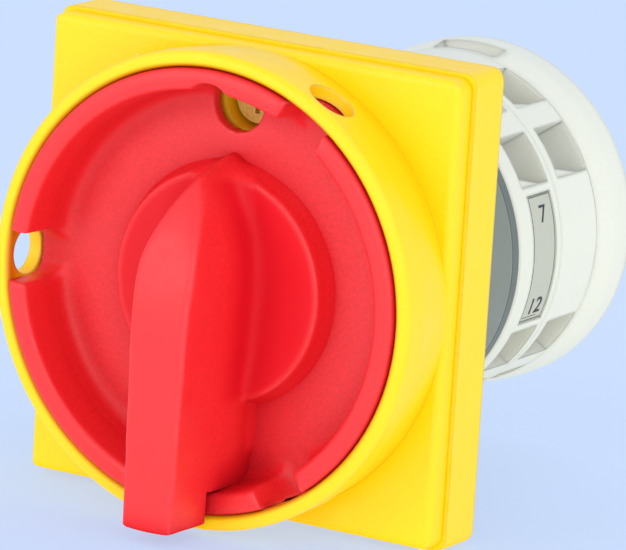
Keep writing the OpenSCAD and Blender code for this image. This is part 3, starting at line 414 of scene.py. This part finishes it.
# %% Yellow and red mouldings
# Painted shade in the corners of the reds, towards a dark red.
IN_SHADE = dict(shine=0.5, corner=0.7, corner_mm=5.0, painted_shade_colour=linear(160, 10, 26))
SATIN_RED = dict(gloss=(0.36, 0.48), grain=0.35, fine=0.05, wear=0.3, **IN_SHADE)
looks = {
    # The yellow gets only a faint painted shade in its corners.
    "yellow_plastic": moulded("collar_yellow", COLLAR_YELLOW, wear=0.3, grain=0.16, drift=0.02,
                              edge_mm=0.7, corner=0.12, corner_mm=3.0,
                              painted_shade_colour=linear(222, 184, 12), ring=LIP_SHADE_RING),
    "red_plastic": moulded("disc_red", GRIP_RED, **SATIN_RED),
}
grip_red = moulded("grip_red", GRIP_RED, dull_from=0.4, ring=HOLLOW_RING, **SATIN_RED)
floor_red = moulded("dish_floor_red", linear(234, 43, 52), gloss=(0.38, 0.5), grain=0.45,
                    grain_mm=0.2, fine=0.06, dust=0.03, **IN_SHADE)
print("one yellow and three reds")

# %% [markdown]
# The decks and the cover are off-white, with little wear, because nobody touches them. Their
# corners get only a light painted shade: white plastic scatters light into its own shadows.
# Rounding the cover's edges wider than the decks' needs a second white, since one finish has one
# edge radius. The latch is two greys. The gasket, the cams and the marker card hardly show, so
# they keep most of the recipe's own numbers, their painted shade in the corners too.

# %% White, grey and inner mouldings
# A light, wide painted shade in the corners of the whites.
WHITE_SKIN = dict(grain=0.12, drift=0.02, fine=0.01, corner=0.25, corner_mm=7.0,
                  painted_shade_colour=linear(206, 200, 200), dust=0.012,
                  dust_colour=linear(120, 122, 118), seam=DECKS_END)
looks["white_plastic"] = moulded("deck_white", DECK_WHITE, wear=0.02, edge_mm=0.8, **WHITE_SKIN)
cover_white = moulded("rear_cover_white", DECK_WHITE, wear=0.0, edge_mm=2.0, **WHITE_SKIN)
# The greys, the gasket, the cams and the card keep painted shade in their corners.
looks["grey_plastic"] = moulded("latch_housing_grey", linear(124, 131, 124), wear=0.2, corner_mm=3.0)
looks["dark_grey_plastic"] = moulded("latch_plate_grey", linear(102, 110, 106), wear=0.2,
                                     corner_mm=3.0)
looks["seal_rubber"] = moulded("gasket_black", linear(34, 34, 36), gloss=(0.6, 0.75), wear=0.1,
                               shine=0.25)
looks["cam_plastic"] = moulded("cam_cream", linear(226, 216, 190), wear=0.15)
looks["marker_card"] = moulded("marker_card", linear(184, 188, 180), gloss=(0.5, 0.6), grain=0.1,
                               wear=0.05, corner=0.3, dust=0.005)
print("moulded slots so far:", ", ".join(looks))

# %% [markdown]
# The screws, springs and contacts are metal. Turned and drawn metal shows fine lines along the way
# it was worked. An anisotropic shader could show them, but it needs a direction at each place. Here
# the grain is noise that is squeezed twelve times in one direction, which is plain bump. The yellow
# zinc on the screws is a thin film and not solid brass, so it is far less metallic, and gets only a
# faint painted shade in its corners.

# %% Screws, springs and contacts
LINES = (1, 1, 12)
STREAK_MM, FLECK_MM, TARNISH_MM, LINE_MM = 3, 0.5, 1.2, 0.25
SHADE_REACH_MM, BRIGHT_REACH_MM, LINE_DEPTH_MM, METAL_EDGE_MM = 1.5, 0.3, 0.01, 0.12


def worked_metal(name, colour, gloss=(0.25, 0.42), metallic=0.9, corner=0.5):
    """A turned or drawn metal, with painted shade in its corners and bright worn edges."""
    finish = Finish(name)
    slow = finish.spread(mottling(finish, STREAK_MM), *SOFT_NOISE)
    tone = finish.tint(slow, shade(colour, 0.85), shade(colour, 1.08))
    flecks = finish.spread(mottling(finish, FLECK_MM, 4), 0.45, 0.75)
    tone = finish.tint(flecks, tone, shade(colour, 0.75))
    # Painted shade: the colour darkens in the corners.
    hidden = finish.both(shaded_corners(finish, SHADE_REACH_MM), corner)
    tone = finish.tint(hidden, tone, shade(colour, 0.5))
    bright = finish.both(worn_edges(finish, BRIGHT_REACH_MM), 0.35)
    tone = finish.tint(bright, tone, shade(colour, 1.35))
    roughness = finish.spread(mottling(finish, TARNISH_MM, 4), *SOFT_NOISE, *gloss)
    drawn = grain_bump(finish, mottling(finish, LINE_MM, 2, LINES), 0.2, LINE_DEPTH_MM,
                       rounded(finish, METAL_EDGE_MM))
    skin = finish.shader.inputs
    finish.link(tone, skin["Base Color"])
    finish.link(roughness, skin["Roughness"])
    finish.link(drawn, skin["Normal"])
    skin["Metallic"].default_value = metallic
    return finish.material


# The zinc gets only a faint painted shade in its corners.
looks["zinc_steel"] = worked_metal("screw_yellow_zinc", linear(252, 222, 118), gloss=(0.38, 0.54),
                                   metallic=0.15, corner=0.15)
looks["spring_steel"] = worked_metal("spring_steel", linear(196, 198, 202), gloss=(0.18, 0.3))
looks["contact_brass"] = worked_metal("contact_brass", linear(214, 168, 92))
print("slots with a finish:", len(looks))

# %% [markdown]
# Each CAD node names the slot that its finish comes from in the part's record. A list of nodes and
# finishes could be typed here, but the record already holds it, and a node that is added to the
# part later is then dressed as well. Only the rear cover gets its own white.

# %% Finishes on the CAD nodes
slot_of = {part["node"]: part["material_slot"] for part in frame["record"]["subparts"]}
for name, node in nodes.items():
    node.data.materials.clear()
    node.data.materials.append(cover_white if name == "rear_cover" else looks[slot_of[name]])
print("finishes", len(looks), "on", len(nodes), "nodes")

# %% [markdown]
# The red mouldings have no hard edge: where two faces meet, the tool was polished into a soft
# turn. Bevels would need clean edge loops, which a CAD mesh hasn't. Instead a copy is remeshed
# into small even faces and relaxed, with a weight that says how far each place may go. The weight
# is the maker's hand here: much on the ridges of the grip, none on the flat seats. Flat skin needs
# few of all those faces, so at the end the copy is thinned.

# %% Helpers for soft mouldings


def rise(value, start, end):
    """0 before start, 1 after end, and smooth between."""
    k = min(1.0, max(0.0, (value - start) / (end - start)))
    return k * k * (3 - 2 * k)


def finished_mesh(piece):
    """The piece's mesh with its modifiers applied."""
    graph = bpy.context.evaluated_depsgraph_get()
    return bpy.data.meshes.new_from_object(piece.evaluated_get(graph), depsgraph=graph)


def settle(piece):
    """Applies the piece's modifiers and keeps the result."""
    mesh = finished_mesh(piece)
    piece.modifiers.clear()
    piece.data = mesh


def fine_copy(node, name, face_mm):
    """A copy of a CAD node, remeshed into even faces."""
    piece = bpy.data.objects.new(name, nodes[node].data.copy())
    scene.collection.objects.link(piece)
    remesh = piece.modifiers.new("remesh", "REMESH")
    remesh.mode, remesh.voxel_size = "VOXEL", face_mm * MM
    settle(piece)
    return piece


def relax(piece, weight, rounds):
    """Smooths the piece as far as weight(place in mm) says, from 0 to 1."""
    group = piece.vertex_groups.new(name="relax")
    for v in piece.data.vertices:
        group.add([v.index], weight(v.co / MM), "REPLACE")
    modifier = piece.modifiers.new("relax", "SMOOTH")
    modifier.factor, modifier.iterations, modifier.vertex_group = 0.5, rounds, group.name
    settle(piece)
    piece.vertex_groups.clear()


def lighten(piece, share):
    """Keeps so large a share of the faces: few on flat skin, many on the turns."""
    piece.modifiers.new("thin", "DECIMATE").ratio = share
    settle(piece)


print("halfway between two heights, rise gives", rise(BOSS_TOP, BOSS_TOP - 1, BOSS_TOP + 1))

# %% [markdown]
# The crest of the real grip runs from its flat top into the prow in one long curve. The CAD crest
# is a straight line and an arc that meet at a small angle, which shows as a line across the grip.
# Relaxing alone would need very many rounds to hide it. So each height is first moved to a crest
# that is averaged over fourteen millimetres, and the relaxing only has to soften the ridges.

# %% Soft grip: the crest
GRIP_FACE_MM = 0.28
CREST_FROM, CREST_TO, CREST_R, CREST_CENTRE = 2.0, 24.0, 30.0, (-4.35, 1.08)
SPAN, SPAN_STEPS = 7, 10
grip = fine_copy("grip", "grip_soft", GRIP_FACE_MM)


def crest(z):
    """Height of the CAD crest at a distance towards 12 o'clock."""
    if z <= CREST_FROM:
        return GRIP_TOP
    return CREST_CENTRE[1] + math.sqrt(CREST_R ** 2 - (min(z, CREST_TO) - CREST_CENTRE[0]) ** 2)


def calm_crest(z):
    """The crest's height, averaged over a span to both sides."""
    places = [z + SPAN * i / SPAN_STEPS for i in range(-SPAN_STEPS, SPAN_STEPS + 1)]
    return sum(crest(place) for place in places) / len(places)


most = 0
for v in grip.data.vertices:
    height, z = -v.co.y / MM, v.co.z / MM
    drop = (crest(z) - calm_crest(z)) * rise(height, BOSS_TOP + 2, crest(z))
    v.co.y += drop * MM
    most = max(most, drop)
print("the crest was moved by up to", round(most, 2), "mm")

# %% [markdown]
# The boss and the tail stand on the disc with a small fillet, because a sharp inner corner would
# crack. A ring of its own could be laid round the foot, but it would show where it starts. So the
# foot is pushed outwards along its own normal, most at the bottom, and a little down into the
# disc, where its thin end is hidden. The push fades out where the tail meets the disc's rim.

# %% Soft grip: the fillet
FILLET_H, FILLET_OUT, FILLET_SUNK = 1.8, 0.8, 0.6
FADE_AT_RIM = (21, 23)
UNDER_FLOOR, WALL_LIKE = 0.3, 0.35
outward = [v.normal.copy() for v in grip.data.vertices]
for v, normal in zip(grip.data.vertices, outward):
    height = -v.co.y / MM - DISC_FLOOR
    flat = Vector((normal.x, 0, normal.z))
    if -UNDER_FLOOR < height < FILLET_H:
        share = (1 - max(height, 0) / FILLET_H) ** 2 * MM
        if flat.length > WALL_LIKE:
            v.co += flat.normalized() * FILLET_OUT * share * (1 - rise(-v.co.z / MM, *FADE_AT_RIM))
        v.co.y += FILLET_SUNK * share
print("fillet", FILLET_H, "mm high and", FILLET_OUT, "mm wide")

# %% [markdown]
# Each flank of the grip runs out into the boss in a wide hollow, which the fingers find. The prow
# ends over the boss in a wide round lump, and the tail reaches the disc's rim without a gap. These
# could be sculpted by hand, but a formula can be changed later: each form is a length times a few
# factors from 0 to 1 that say where it starts and stops.

# %% Soft grip: the hollows, the prow and the tail
HOLLOW_DEEP, HOLLOW_R = 1.4, 15.2
PROW_OUT, PROW_W, PROW_HEIGHTS, PROW_PLACES = 0.9, 2.6, (14.5, 19), (13, 16)
TAIL_OUT, TAIL_R, TAIL_HEIGHTS, TAIL_PLACES = 0.6, 26.3, (21.6, 22.2), (23.5, 25)
TAIL_UNDER = 0.7


def hollow(height, r):
    """How far the top of the boss sinks, in mm."""
    above_foot = rise(height, DISC_FLOOR + 0.6, BOSS_TOP - 0.3)
    below_grip = 1 - rise(height, BOSS_TOP + 0.5, BOSS_TOP + 5)
    return HOLLOW_DEEP * max(0, 1 - (r / HOLLOW_R) ** 2) * above_foot * below_grip


def prow(height, x, z):
    """How far the prow is drawn out towards 12 o'clock, in mm."""
    narrow = math.exp(-(x / PROW_W) ** 2)
    return PROW_OUT * narrow * (1 - rise(height, *PROW_HEIGHTS)) * rise(z, *PROW_PLACES)


def tail(height, z):
    """How far the tail's end is drawn out towards the rim, in mm."""
    return TAIL_OUT * (1 - rise(height, *TAIL_HEIGHTS)) * rise(-z, *TAIL_PLACES)


for v in grip.data.vertices:
    height, r = -v.co.y / MM, math.hypot(v.co.x, v.co.z) / MM
    v.co.y += hollow(height, r) * MM
    if height > DISC_FLOOR - UNDER_FLOOR:
        v.co.z += prow(height, v.co.x / MM, v.co.z / MM) * MM
    if height > DISC_FLOOR - TAIL_UNDER and r < TAIL_R:
        v.co.z -= tail(height, v.co.z / MM) * MM
print("hollows", HOLLOW_DEEP, "mm deep, prow", PROW_OUT, "mm and tail", TAIL_OUT, "mm further out")

# %% [markdown]
# Four relaxing passes follow: a light one on all that stands above the disc's floor, one on the
# ridges, a long one in the hollow, and an equally long one at the prow, where top and flanks melt
# into one round point. A single pass with the most rounds would be shorter to write, but it would
# also melt the tail's end, which is crisp on the real grip. The finished grip then stands for its
# CAD node and turns with the handle.

# %% Soft grip: relaxing
RIDGE_PLACES, BOSS_EDGE_BAND = (-31, 8), (0.8, 2.0)
PROW_SOFT_PLACES, PROW_MIDDLE, PROW_DROP = (5, 13), (3, 6), 3.9


def above_floor(p):
    """0 at the disc's floor and 1 from a millimetre above it."""
    return rise(-p.y, DISC_FLOOR, DISC_FLOOR + 1.0)


def on_ridges(p):
    """More and more from the tail to the prow, on all above the boss."""
    return rise(-p.y, BOSS_TOP + 0.1, BOSS_TOP + 0.8) * rise(p.z, *RIDGE_PLACES)


def in_hollow(p):
    """1 on the boss and the lower flanks, 0 at the boss's edge and on the grip's crest."""
    inside = rise(BOSS_R - math.hypot(p.x, p.z), *BOSS_EDGE_BAND)
    return inside * (1 - rise(-p.y, BOSS_TOP + 3.5, BOSS_TOP + 7))


def at_prow(p):
    """1 on the prow, down to the boss and, in its middle, down to the disc."""
    low = BOSS_TOP + 0.3 - PROW_DROP * (1 - rise(abs(p.x), *PROW_MIDDLE))
    return rise(-p.y, low, low + 1.0) * rise(p.z, *PROW_SOFT_PLACES)


relax(grip, above_floor, 8)
relax(grip, on_ridges, 30)
relax(grip, in_hollow, 150)
relax(grip, at_prow, 150)
lighten(grip, 0.5)
grip.data.materials.clear()
grip.data.materials.append(grip_red)
for face in grip.data.polygons:
    face.use_smooth = True
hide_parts("grip")
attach(grip, "handle")
print("soft grip:", len(grip.data.vertices), "vertices")

# %% [markdown]
# The locking disc is a shallow dish whose rim rises out of the floor in a wide soft cove. Each
# padlock slot is open to the front, and its floor is level with the dish. The CAD slot is cut as
# deep as the round hole behind it, which leaves a small groove in the floor. The groove could be
# filled with a patch, but its edges would show, so on the copy it is lifted to the floor.

# %% Soft locking disc: the slots
DISC_FACE_MM = 0.3
SLOT_ANGLES, SLOT_HALF, SLOT_FROM, GROOVE_BAND = (60, 180, 300), 3.6, 23.8, 0.6
disc = fine_copy("locking_disc", "locking_disc_soft", DISC_FACE_MM)


def in_slot(p):
    """How far inside a padlock slot's strip a place is, in mm, or less than 0 outside."""
    best = -2 * DISC_R
    for degrees in SLOT_ANGLES:
        a = math.radians(degrees)
        along = p.x * math.cos(a) + p.z * math.sin(a)
        across = p.z * math.cos(a) - p.x * math.sin(a)
        if along > 0:
            best = max(best, min(SLOT_HALF - abs(across), along - SLOT_FROM))
    return best


lifted = 0
for v in disc.data.vertices:
    p = v.co / MM
    in_groove = DISC_FLOOR - GROOVE_BAND < -p.y < DISC_FLOOR and in_slot(p) > 0
    if in_groove and math.hypot(p.x, p.z) < DISC_R - 0.2:
        v.co.y = -DISC_FLOOR * MM
        lifted += 1
print("places lifted in the slots:", lifted)

# %% [markdown]
# Now the cove and the ends of the rim at the slots are relaxed, apart from the stretch where the
# grip's tail lies on the rim. The rim's outer wall keeps its edge and is moved a fifth of a
# millimetre closer to the collar: the disc turns in it with very little air, and the photograph
# shows the gap as a thin soft line. The CAD wall could move instead, but the gap it has is what
# lets the handle turn freely in the simulation.

# %% Soft locking disc: the cove and the rim
RIM_CLOSER, RIM_FOOT, WALL_BAND = 0.22, 15, 0.5
COVE_RADII, TAIL_SIDES, SLOT_BESIDE = (21, 23), (7, 9), (-3, -0.8)


def on_front(p):
    """1 on the disc's floor and all in front of it."""
    return rise(-p.y, 12, 13)


def soft_rim(p):
    """1 in the cove and on the rim, 0 at the outer wall and beside the grip's tail."""
    r = math.hypot(p.x, p.z)
    near_tail = (1 - rise(abs(p.x), *TAIL_SIDES)) * (p.z < 0)
    on_rim = rise(r, *COVE_RADII) * (1 - rise(r, DISC_R - 0.9, DISC_R - 0.2))
    return on_rim * on_front(p) * (1 - near_tail)


def rim_ends(p):
    """1 on the rim beside each slot."""
    return soft_rim(p) * rise(in_slot(p), *SLOT_BESIDE)


relax(disc, lambda p: 0.6 * on_front(p), 3)
relax(disc, soft_rim, 12)
relax(disc, rim_ends, 15)
for v in disc.data.vertices:
    r = math.hypot(v.co.x, v.co.z) / MM
    if r > DISC_R - WALL_BAND and -v.co.y / MM > RIM_FOOT:
        v.co.x *= (r + RIM_CLOSER) / r
        v.co.z *= (r + RIM_CLOSER) / r
lighten(disc, 0.35)
print("soft disc:", len(disc.data.vertices), "vertices, rim", RIM_CLOSER, "mm closer to the collar")

# %% [markdown]
# The etched floor and the smoother rest of the disc are one moulding with two finishes. They could
# be two pieces, but each face of a mesh can carry its own material, by the number of its slot. The
# slots have to be filled first, because emptying them sets every face back to the first one.

# %% Soft locking disc: the etched floor
FLOOR_BAND, FACING_OUT = 0.12, -0.9
disc.data.materials.clear()
disc.data.materials.append(looks["red_plastic"])
disc.data.materials.append(floor_red)
for face in disc.data.polygons:
    face.use_smooth = True
    level = abs(-face.center.y / MM - DISC_FLOOR) < FLOOR_BAND
    face.material_index = 1 if level and face.normal.y < FACING_OUT else 0
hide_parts("locking_disc")
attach(disc, "handle")
print("faces of the etched floor:", sum(face.material_index for face in disc.data.polygons))

# %% [markdown]
# In each window of a contact deck, the wall nearer to the marker strip has a slim wedge that leads
# the screwdriver in. Sixteen wedges could be modelled one by one, or one could be copied with an
# array. Here one function turns a corner given as height, side and depth into the place for any
# window, and a second one builds a wedge from six such corners.

# %% Window wedge
WINDOW_FLOOR_R, WINDOW_HALF, WINDOW_PITCH = 18.6, 3.72, 27.7
WINDOW_DEPTHS = ((27.0, 34.2), (37.0, 45.0))
WEDGE_W, WEDGE_TOP_R, WEDGE_EDGE, OVERLAP = 1.9, 22.4, 0.12, 0.05


def in_window(angle, out, side, depth):
    """A place in a window's own terms: out from the shaft, to its side, and behind the panel."""
    a = math.radians(angle)
    x, z = out * math.cos(a) - side * math.sin(a), out * math.sin(a) + side * math.cos(a)
    return Vector((x, depth, z)) * MM


def wedge(mesh, angle, side, front, back):
    """A wedge on one side wall, wide at the window's front and nothing at its back."""
    wall = side * (WINDOW_HALF + OVERLAP)
    tip = side * (WINDOW_HALF - WEDGE_W)
    outline = ((wall, front - OVERLAP), (tip, front - OVERLAP), (wall, back))
    low, high = ([mesh.verts.new(in_window(angle, out, *place)) for place in outline]
                 for out in (WINDOW_FLOOR_R - OVERLAP, WEDGE_TOP_R))
    mesh.faces.new(low)
    mesh.faces.new(high[::-1])
    for i in range(3):
        j = (i + 1) % 3
        mesh.faces.new((low[j], low[i], high[i], high[j]))


print("a wedge is", WEDGE_W, "mm wide and", round(WEDGE_TOP_R - WINDOW_FLOOR_R, 1), "mm high")

# %% [markdown]
# Each deck has eight windows, four round its top and four round its bottom, and none at the sides,
# where the marker strips are. A loop over single objects would do, but all the wedges are built in
# one mesh, so that they stay one moulded piece and are bevelled together. New pieces always need
# the same few lines, so these go into a helper, which the print uses too.

# %% Wedges in all the windows


def new_piece(name, mesh, look, body):
    """A piece from a bmesh, with its finish and the body it rides on."""
    data = bpy.data.meshes.new(name)
    mesh.to_mesh(data)
    mesh.free()
    data.materials.append(look)
    piece = bpy.data.objects.new(name, data)
    scene.collection.objects.link(piece)
    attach(piece, body)
    return piece


wedges = bmesh.new()
count = 0
for front, back in WINDOW_DEPTHS:
    for row in (90, 270):
        for step in (-2, -1, 1, 2):
            angle = (row + step * WINDOW_PITCH) % 360
            a = math.radians(angle)
            towards_marker = -1 if math.sin(a) * math.cos(a) > 0 else 1
            wedge(wedges, angle, towards_marker, front, back)
            count += 1
bmesh.ops.recalc_face_normals(wedges, faces=wedges.faces)
bmesh.ops.bevel(wedges, geom=wedges.edges[:], offset=WEDGE_EDGE * MM, segments=2, affect="EDGES")
new_piece("window_wedges", wedges, looks["white_plastic"], "housing")
print("wedges:", count)

# %% [markdown]
# A marker strip is pressed into each side of the front deck. It has a printed frame and a plain
# number at each end for the terminals. Print could be a picture on the strip, but then it would
# need an image file. So all print is drawn flat first, with lines as thin bands of faces, and each
# of its corners is then bent round the strip's radius. On the far side of the deck the print is
# turned half round about the upright line, so that it reads upright there too.

# %% Bent print
STRIP_R, STRIP_END = side_mm("marker_strips", 1, "x"), side_mm("marker_strips", 1, "z")
STRIP_FRONT, STRIP_BACK = side_mm("marker_strips", 0, "y"), side_mm("marker_strips", 1, "y")
STRIP_MID = (STRIP_FRONT + STRIP_BACK) / 2
STRIP_HALF = math.asin(STRIP_END / STRIP_R) * STRIP_R
INK_T, INK_SUNK, BEND_MM = 0.02, 0.05, 0.8


def on_strip(across, along, lift, far_side):
    """Flat print onto a strip: across runs to the reader's right, along runs up round the deck."""
    a, r, side = along / STRIP_R, STRIP_R + lift, -1 if far_side else 1
    return Vector((side * r * math.cos(a), STRIP_MID + side * across, r * math.sin(a))) * MM


def printed_line(mesh, points, width, far_side):
    """A line of print through flat points, cut short enough to bend with the strip."""
    for (x0, z0), (x1, z1) in zip(points, points[1:]):
        run = Vector((x1 - x0, z1 - z0))
        side = Vector((-run.y, run.x)).normalized() * width / 2
        pieces = max(1, int(run.length / BEND_MM))
        rows = []
        for i in range(pieces + 1):
            x, z = x0 + run.x * i / pieces, z0 + run.y * i / pieces
            rows.append([mesh.verts.new(on_strip(x + s * side.x, z + s * side.y, lift, far_side))
                         for s in (-1, 1) for lift in (-INK_SUNK, INK_T)])
        for a, b in zip(rows, rows[1:]):
            for i, j in ((1, 3), (3, 2), (2, 0), (0, 1)):
                mesh.faces.new((a[i], a[j], b[j], b[i]))
        first, last = rows[0], rows[-1]
        mesh.faces.new((first[0], first[1], first[3], first[2]))
        mesh.faces.new((last[0], last[2], last[3], last[1]))


print("strip", round(2 * STRIP_HALF, 1), "mm long round the deck and",
      round(STRIP_BACK - STRIP_FRONT, 1), "mm wide")

# %% [markdown]
# Blender's own text becomes the numbers. It is a curve, and could be shown as one, but a curve
# can't be bent round the strip point by point. So it is turned into a mesh first. Each place of
# that mesh then goes onto the strip, a little stretched, because the printed figures are wide.

# %% Frame and numbers
FRAME_IN, FRAME_FRONT, LINE_W = 0.12, 0.4, 0.08
SHORT_FROM, SHORT_TO, SHORT_UP = 0.4, 1.6, 0.5
FIGURE_H, FIGURE_WIDE, CAPITAL_SHARE, FIGURE_T = 2.4, 1.12, 0.7, 0.06
FIGURES = (("7", 0.3, 15.2), ("12", 0.1, -16.8))
marker_ink = moulded("marker_ink", linear(58, 62, 58), gloss=(0.5, 0.6), grain=0.05, wear=0.0,
                     corner=0.0, dust=0.0)


def printed_number(mesh, digits, across, along, far_side):
    """A plain number as raised ink, centred at a place on the strip."""
    text = bpy.data.curves.new("number", "FONT")
    text.body, text.align_x, text.align_y = digits, "CENTER", "CENTER"
    text.size, text.extrude, text.resolution_u = FIGURE_H / CAPITAL_SHARE, FIGURE_T, 3
    holder = bpy.data.objects.new("number", text)
    scene.collection.objects.link(holder)
    flat = finished_mesh(holder)
    bpy.data.objects.remove(holder)
    bent = [mesh.verts.new(on_strip(across + FIGURE_WIDE * v.co.x, along + v.co.y, v.co.z, far_side))
            for v in flat.vertices]
    for face in flat.polygons:
        mesh.faces.new([bent[i] for i in face.vertices])


ink = bmesh.new()
front, back = STRIP_FRONT - STRIP_MID + FRAME_FRONT, STRIP_BACK - STRIP_MID - FRAME_IN
end = STRIP_HALF - FRAME_IN
frame_line = [(front, -end), (back, -end), (back, end), (front, end), (front, -end)]
short_line = [(front + SHORT_FROM, -end + SHORT_UP), (back - SHORT_TO, -end + SHORT_UP)]
for far_side in (False, True):
    printed_line(ink, frame_line, LINE_W, far_side)
    printed_line(ink, short_line, LINE_W, far_side)
    for digits, across, degrees in FIGURES:
        printed_number(ink, digits, across, math.radians(degrees) * STRIP_R, far_side)
bmesh.ops.recalc_face_normals(ink, faces=ink.faces)
print("print: faces", len(ink.faces))
new_piece("marker_print", ink, marker_ink, "housing")

# %% [markdown]
# The switch stands on a pale table under a pale sky. That paleness could be had with more light,
# but it would wash out the part. So table and sky have two sides each. Rays from the camera and
# mirror rays see a pale blue. All other rays, which carry the light that falls on the part, meet a
# plain warm white. A small helper says which of the two a ray is.

# %% Table
PALE, BOUNCE_WHITE = linear(202, 221, 254), linear(222, 221, 214)
TABLE_HALF, TABLE_GAP, TABLE_GLOW = 6.0, 0.0004, 0.72
PAPER_MM, PAPER_TONES = 60, (0.296, 0.304)


def seen_directly(tree):
    """1 for rays from the camera, from a mirror or through glass."""
    path = tree.nodes.new("ShaderNodeLightPath")
    total = path.outputs["Is Camera Ray"]
    for name in ("Is Glossy Ray", "Is Transmission Ray"):
        node = tree.nodes.new("ShaderNodeMath")
        node.operation = "MAXIMUM"
        tree.links.new(total, node.inputs[0])
        tree.links.new(path.outputs[name], node.inputs[1])
        total = node.outputs[0]
    return total


table_z = cad_box[0].z - TABLE_GAP
corners = [(x * TABLE_HALF, y * TABLE_HALF, table_z) for x, y in ((-1, -1), (1, -1), (1, 1), (-1, 1))]
table_mesh = bpy.data.meshes.new("table")
table_mesh.from_pydata(corners, [], [(0, 1, 2, 3)])
table = bpy.data.objects.new("table", table_mesh)
scene.collection.objects.link(table)

paper = Finish("pale_table")
cloudy = paper.spread(mottling(paper, PAPER_MM), 0.2, 0.8)
seen = paper.shader.inputs
darker, lighter = (shade(PALE, tone) for tone in PAPER_TONES)
paper.link(paper.tint(cloudy, darker, lighter), seen["Base Color"])
seen["Roughness"].default_value = 0.9
seen["Specular IOR Level"].default_value = 0.0
seen["Emission Color"].default_value = PALE
seen["Emission Strength"].default_value = TABLE_GLOW
plain = paper.add("ShaderNodeBsdfPrincipled")
plain.inputs["Base Color"].default_value = BOUNCE_WHITE
plain.inputs["Emission Color"].default_value = BOUNCE_WHITE
plain.inputs["Emission Strength"].default_value = TABLE_GLOW
either = paper.add("ShaderNodeMixShader")
paper.fill(either.inputs, (seen_directly(paper.tree), plain.outputs[0], paper.shader.outputs[0]))
paper.link(either.outputs[0], paper.out.inputs["Surface"])
table_mesh.materials.append(paper.material)
print("table at", round(table_z / MM, 2), "mm")

# %% [markdown]
# Most of the light comes from the sky, evenly from all sides, as in a light tent. Three large
# lamps could do the same, but each would leave its own shadow and its own mirror image. The sky
# has its two sides as well: a background that lights and one that is seen.

# %% Sky
SKY = 0.98
world = bpy.data.worlds.new("sky")
scene.world = world
world.use_nodes = True
sky = world.node_tree
lit = sky.nodes["Background"]
lit.inputs["Color"].default_value, lit.inputs["Strength"].default_value = linear(240, 240, 236), SKY
shown = sky.nodes.new("ShaderNodeBackground")
shown.inputs["Color"].default_value, shown.inputs["Strength"].default_value = PALE, 1.0
choice = sky.nodes.new("ShaderNodeMixShader")
for socket, source in zip(choice.inputs, (seen_directly(sky), lit.outputs[0], shown.outputs[0])):
    sky.links.new(source, socket)
sky.links.new(choice.outputs[0], sky.nodes["World Output"].inputs["Surface"])
print("sky strength", SKY)

# %% [markdown]
# Even light alone would look flat, so three lamps help it. A small soft one from the front left
# gives the red top its sheen, a wide one from the right models the flanks and the body without a
# hard shadow, and a weak one from behind lifts the upper edges. A sun lamp would be simpler, but
# its shadows would be sharp.

# %% Lamps
LAMPS = (("sheen", (-0.55, -0.95, 0.4), 0.7, 3.0, (1, 0.99, 0.97)),
         ("right", (1.1, -1.15, 0.3), 2.0, 16.0, (1, 0.99, 0.97)),
         ("top", (0.3, 0.3, 0.9), 0.7, 1.0, (1, 1, 1)))


def soft_lamp(name, place, size, power, colour):
    """A square lamp of so many metres and watts that looks at the switch."""
    data = bpy.data.lights.new(name, "AREA")
    data.shape, data.size, data.energy, data.color = "SQUARE", size, power, colour
    lamp = bpy.data.objects.new(name, data)
    lamp.location = place
    lamp.rotation_euler = (-Vector(place)).to_track_quat("-Z", "Y").to_euler()
    scene.collection.objects.link(lamp)


for lamp in LAMPS:
    soft_lamp(*lamp)
scene.view_settings.view_transform = "Standard"
print("lamps:", [lamp[0] for lamp in LAMPS])

# %% [markdown]
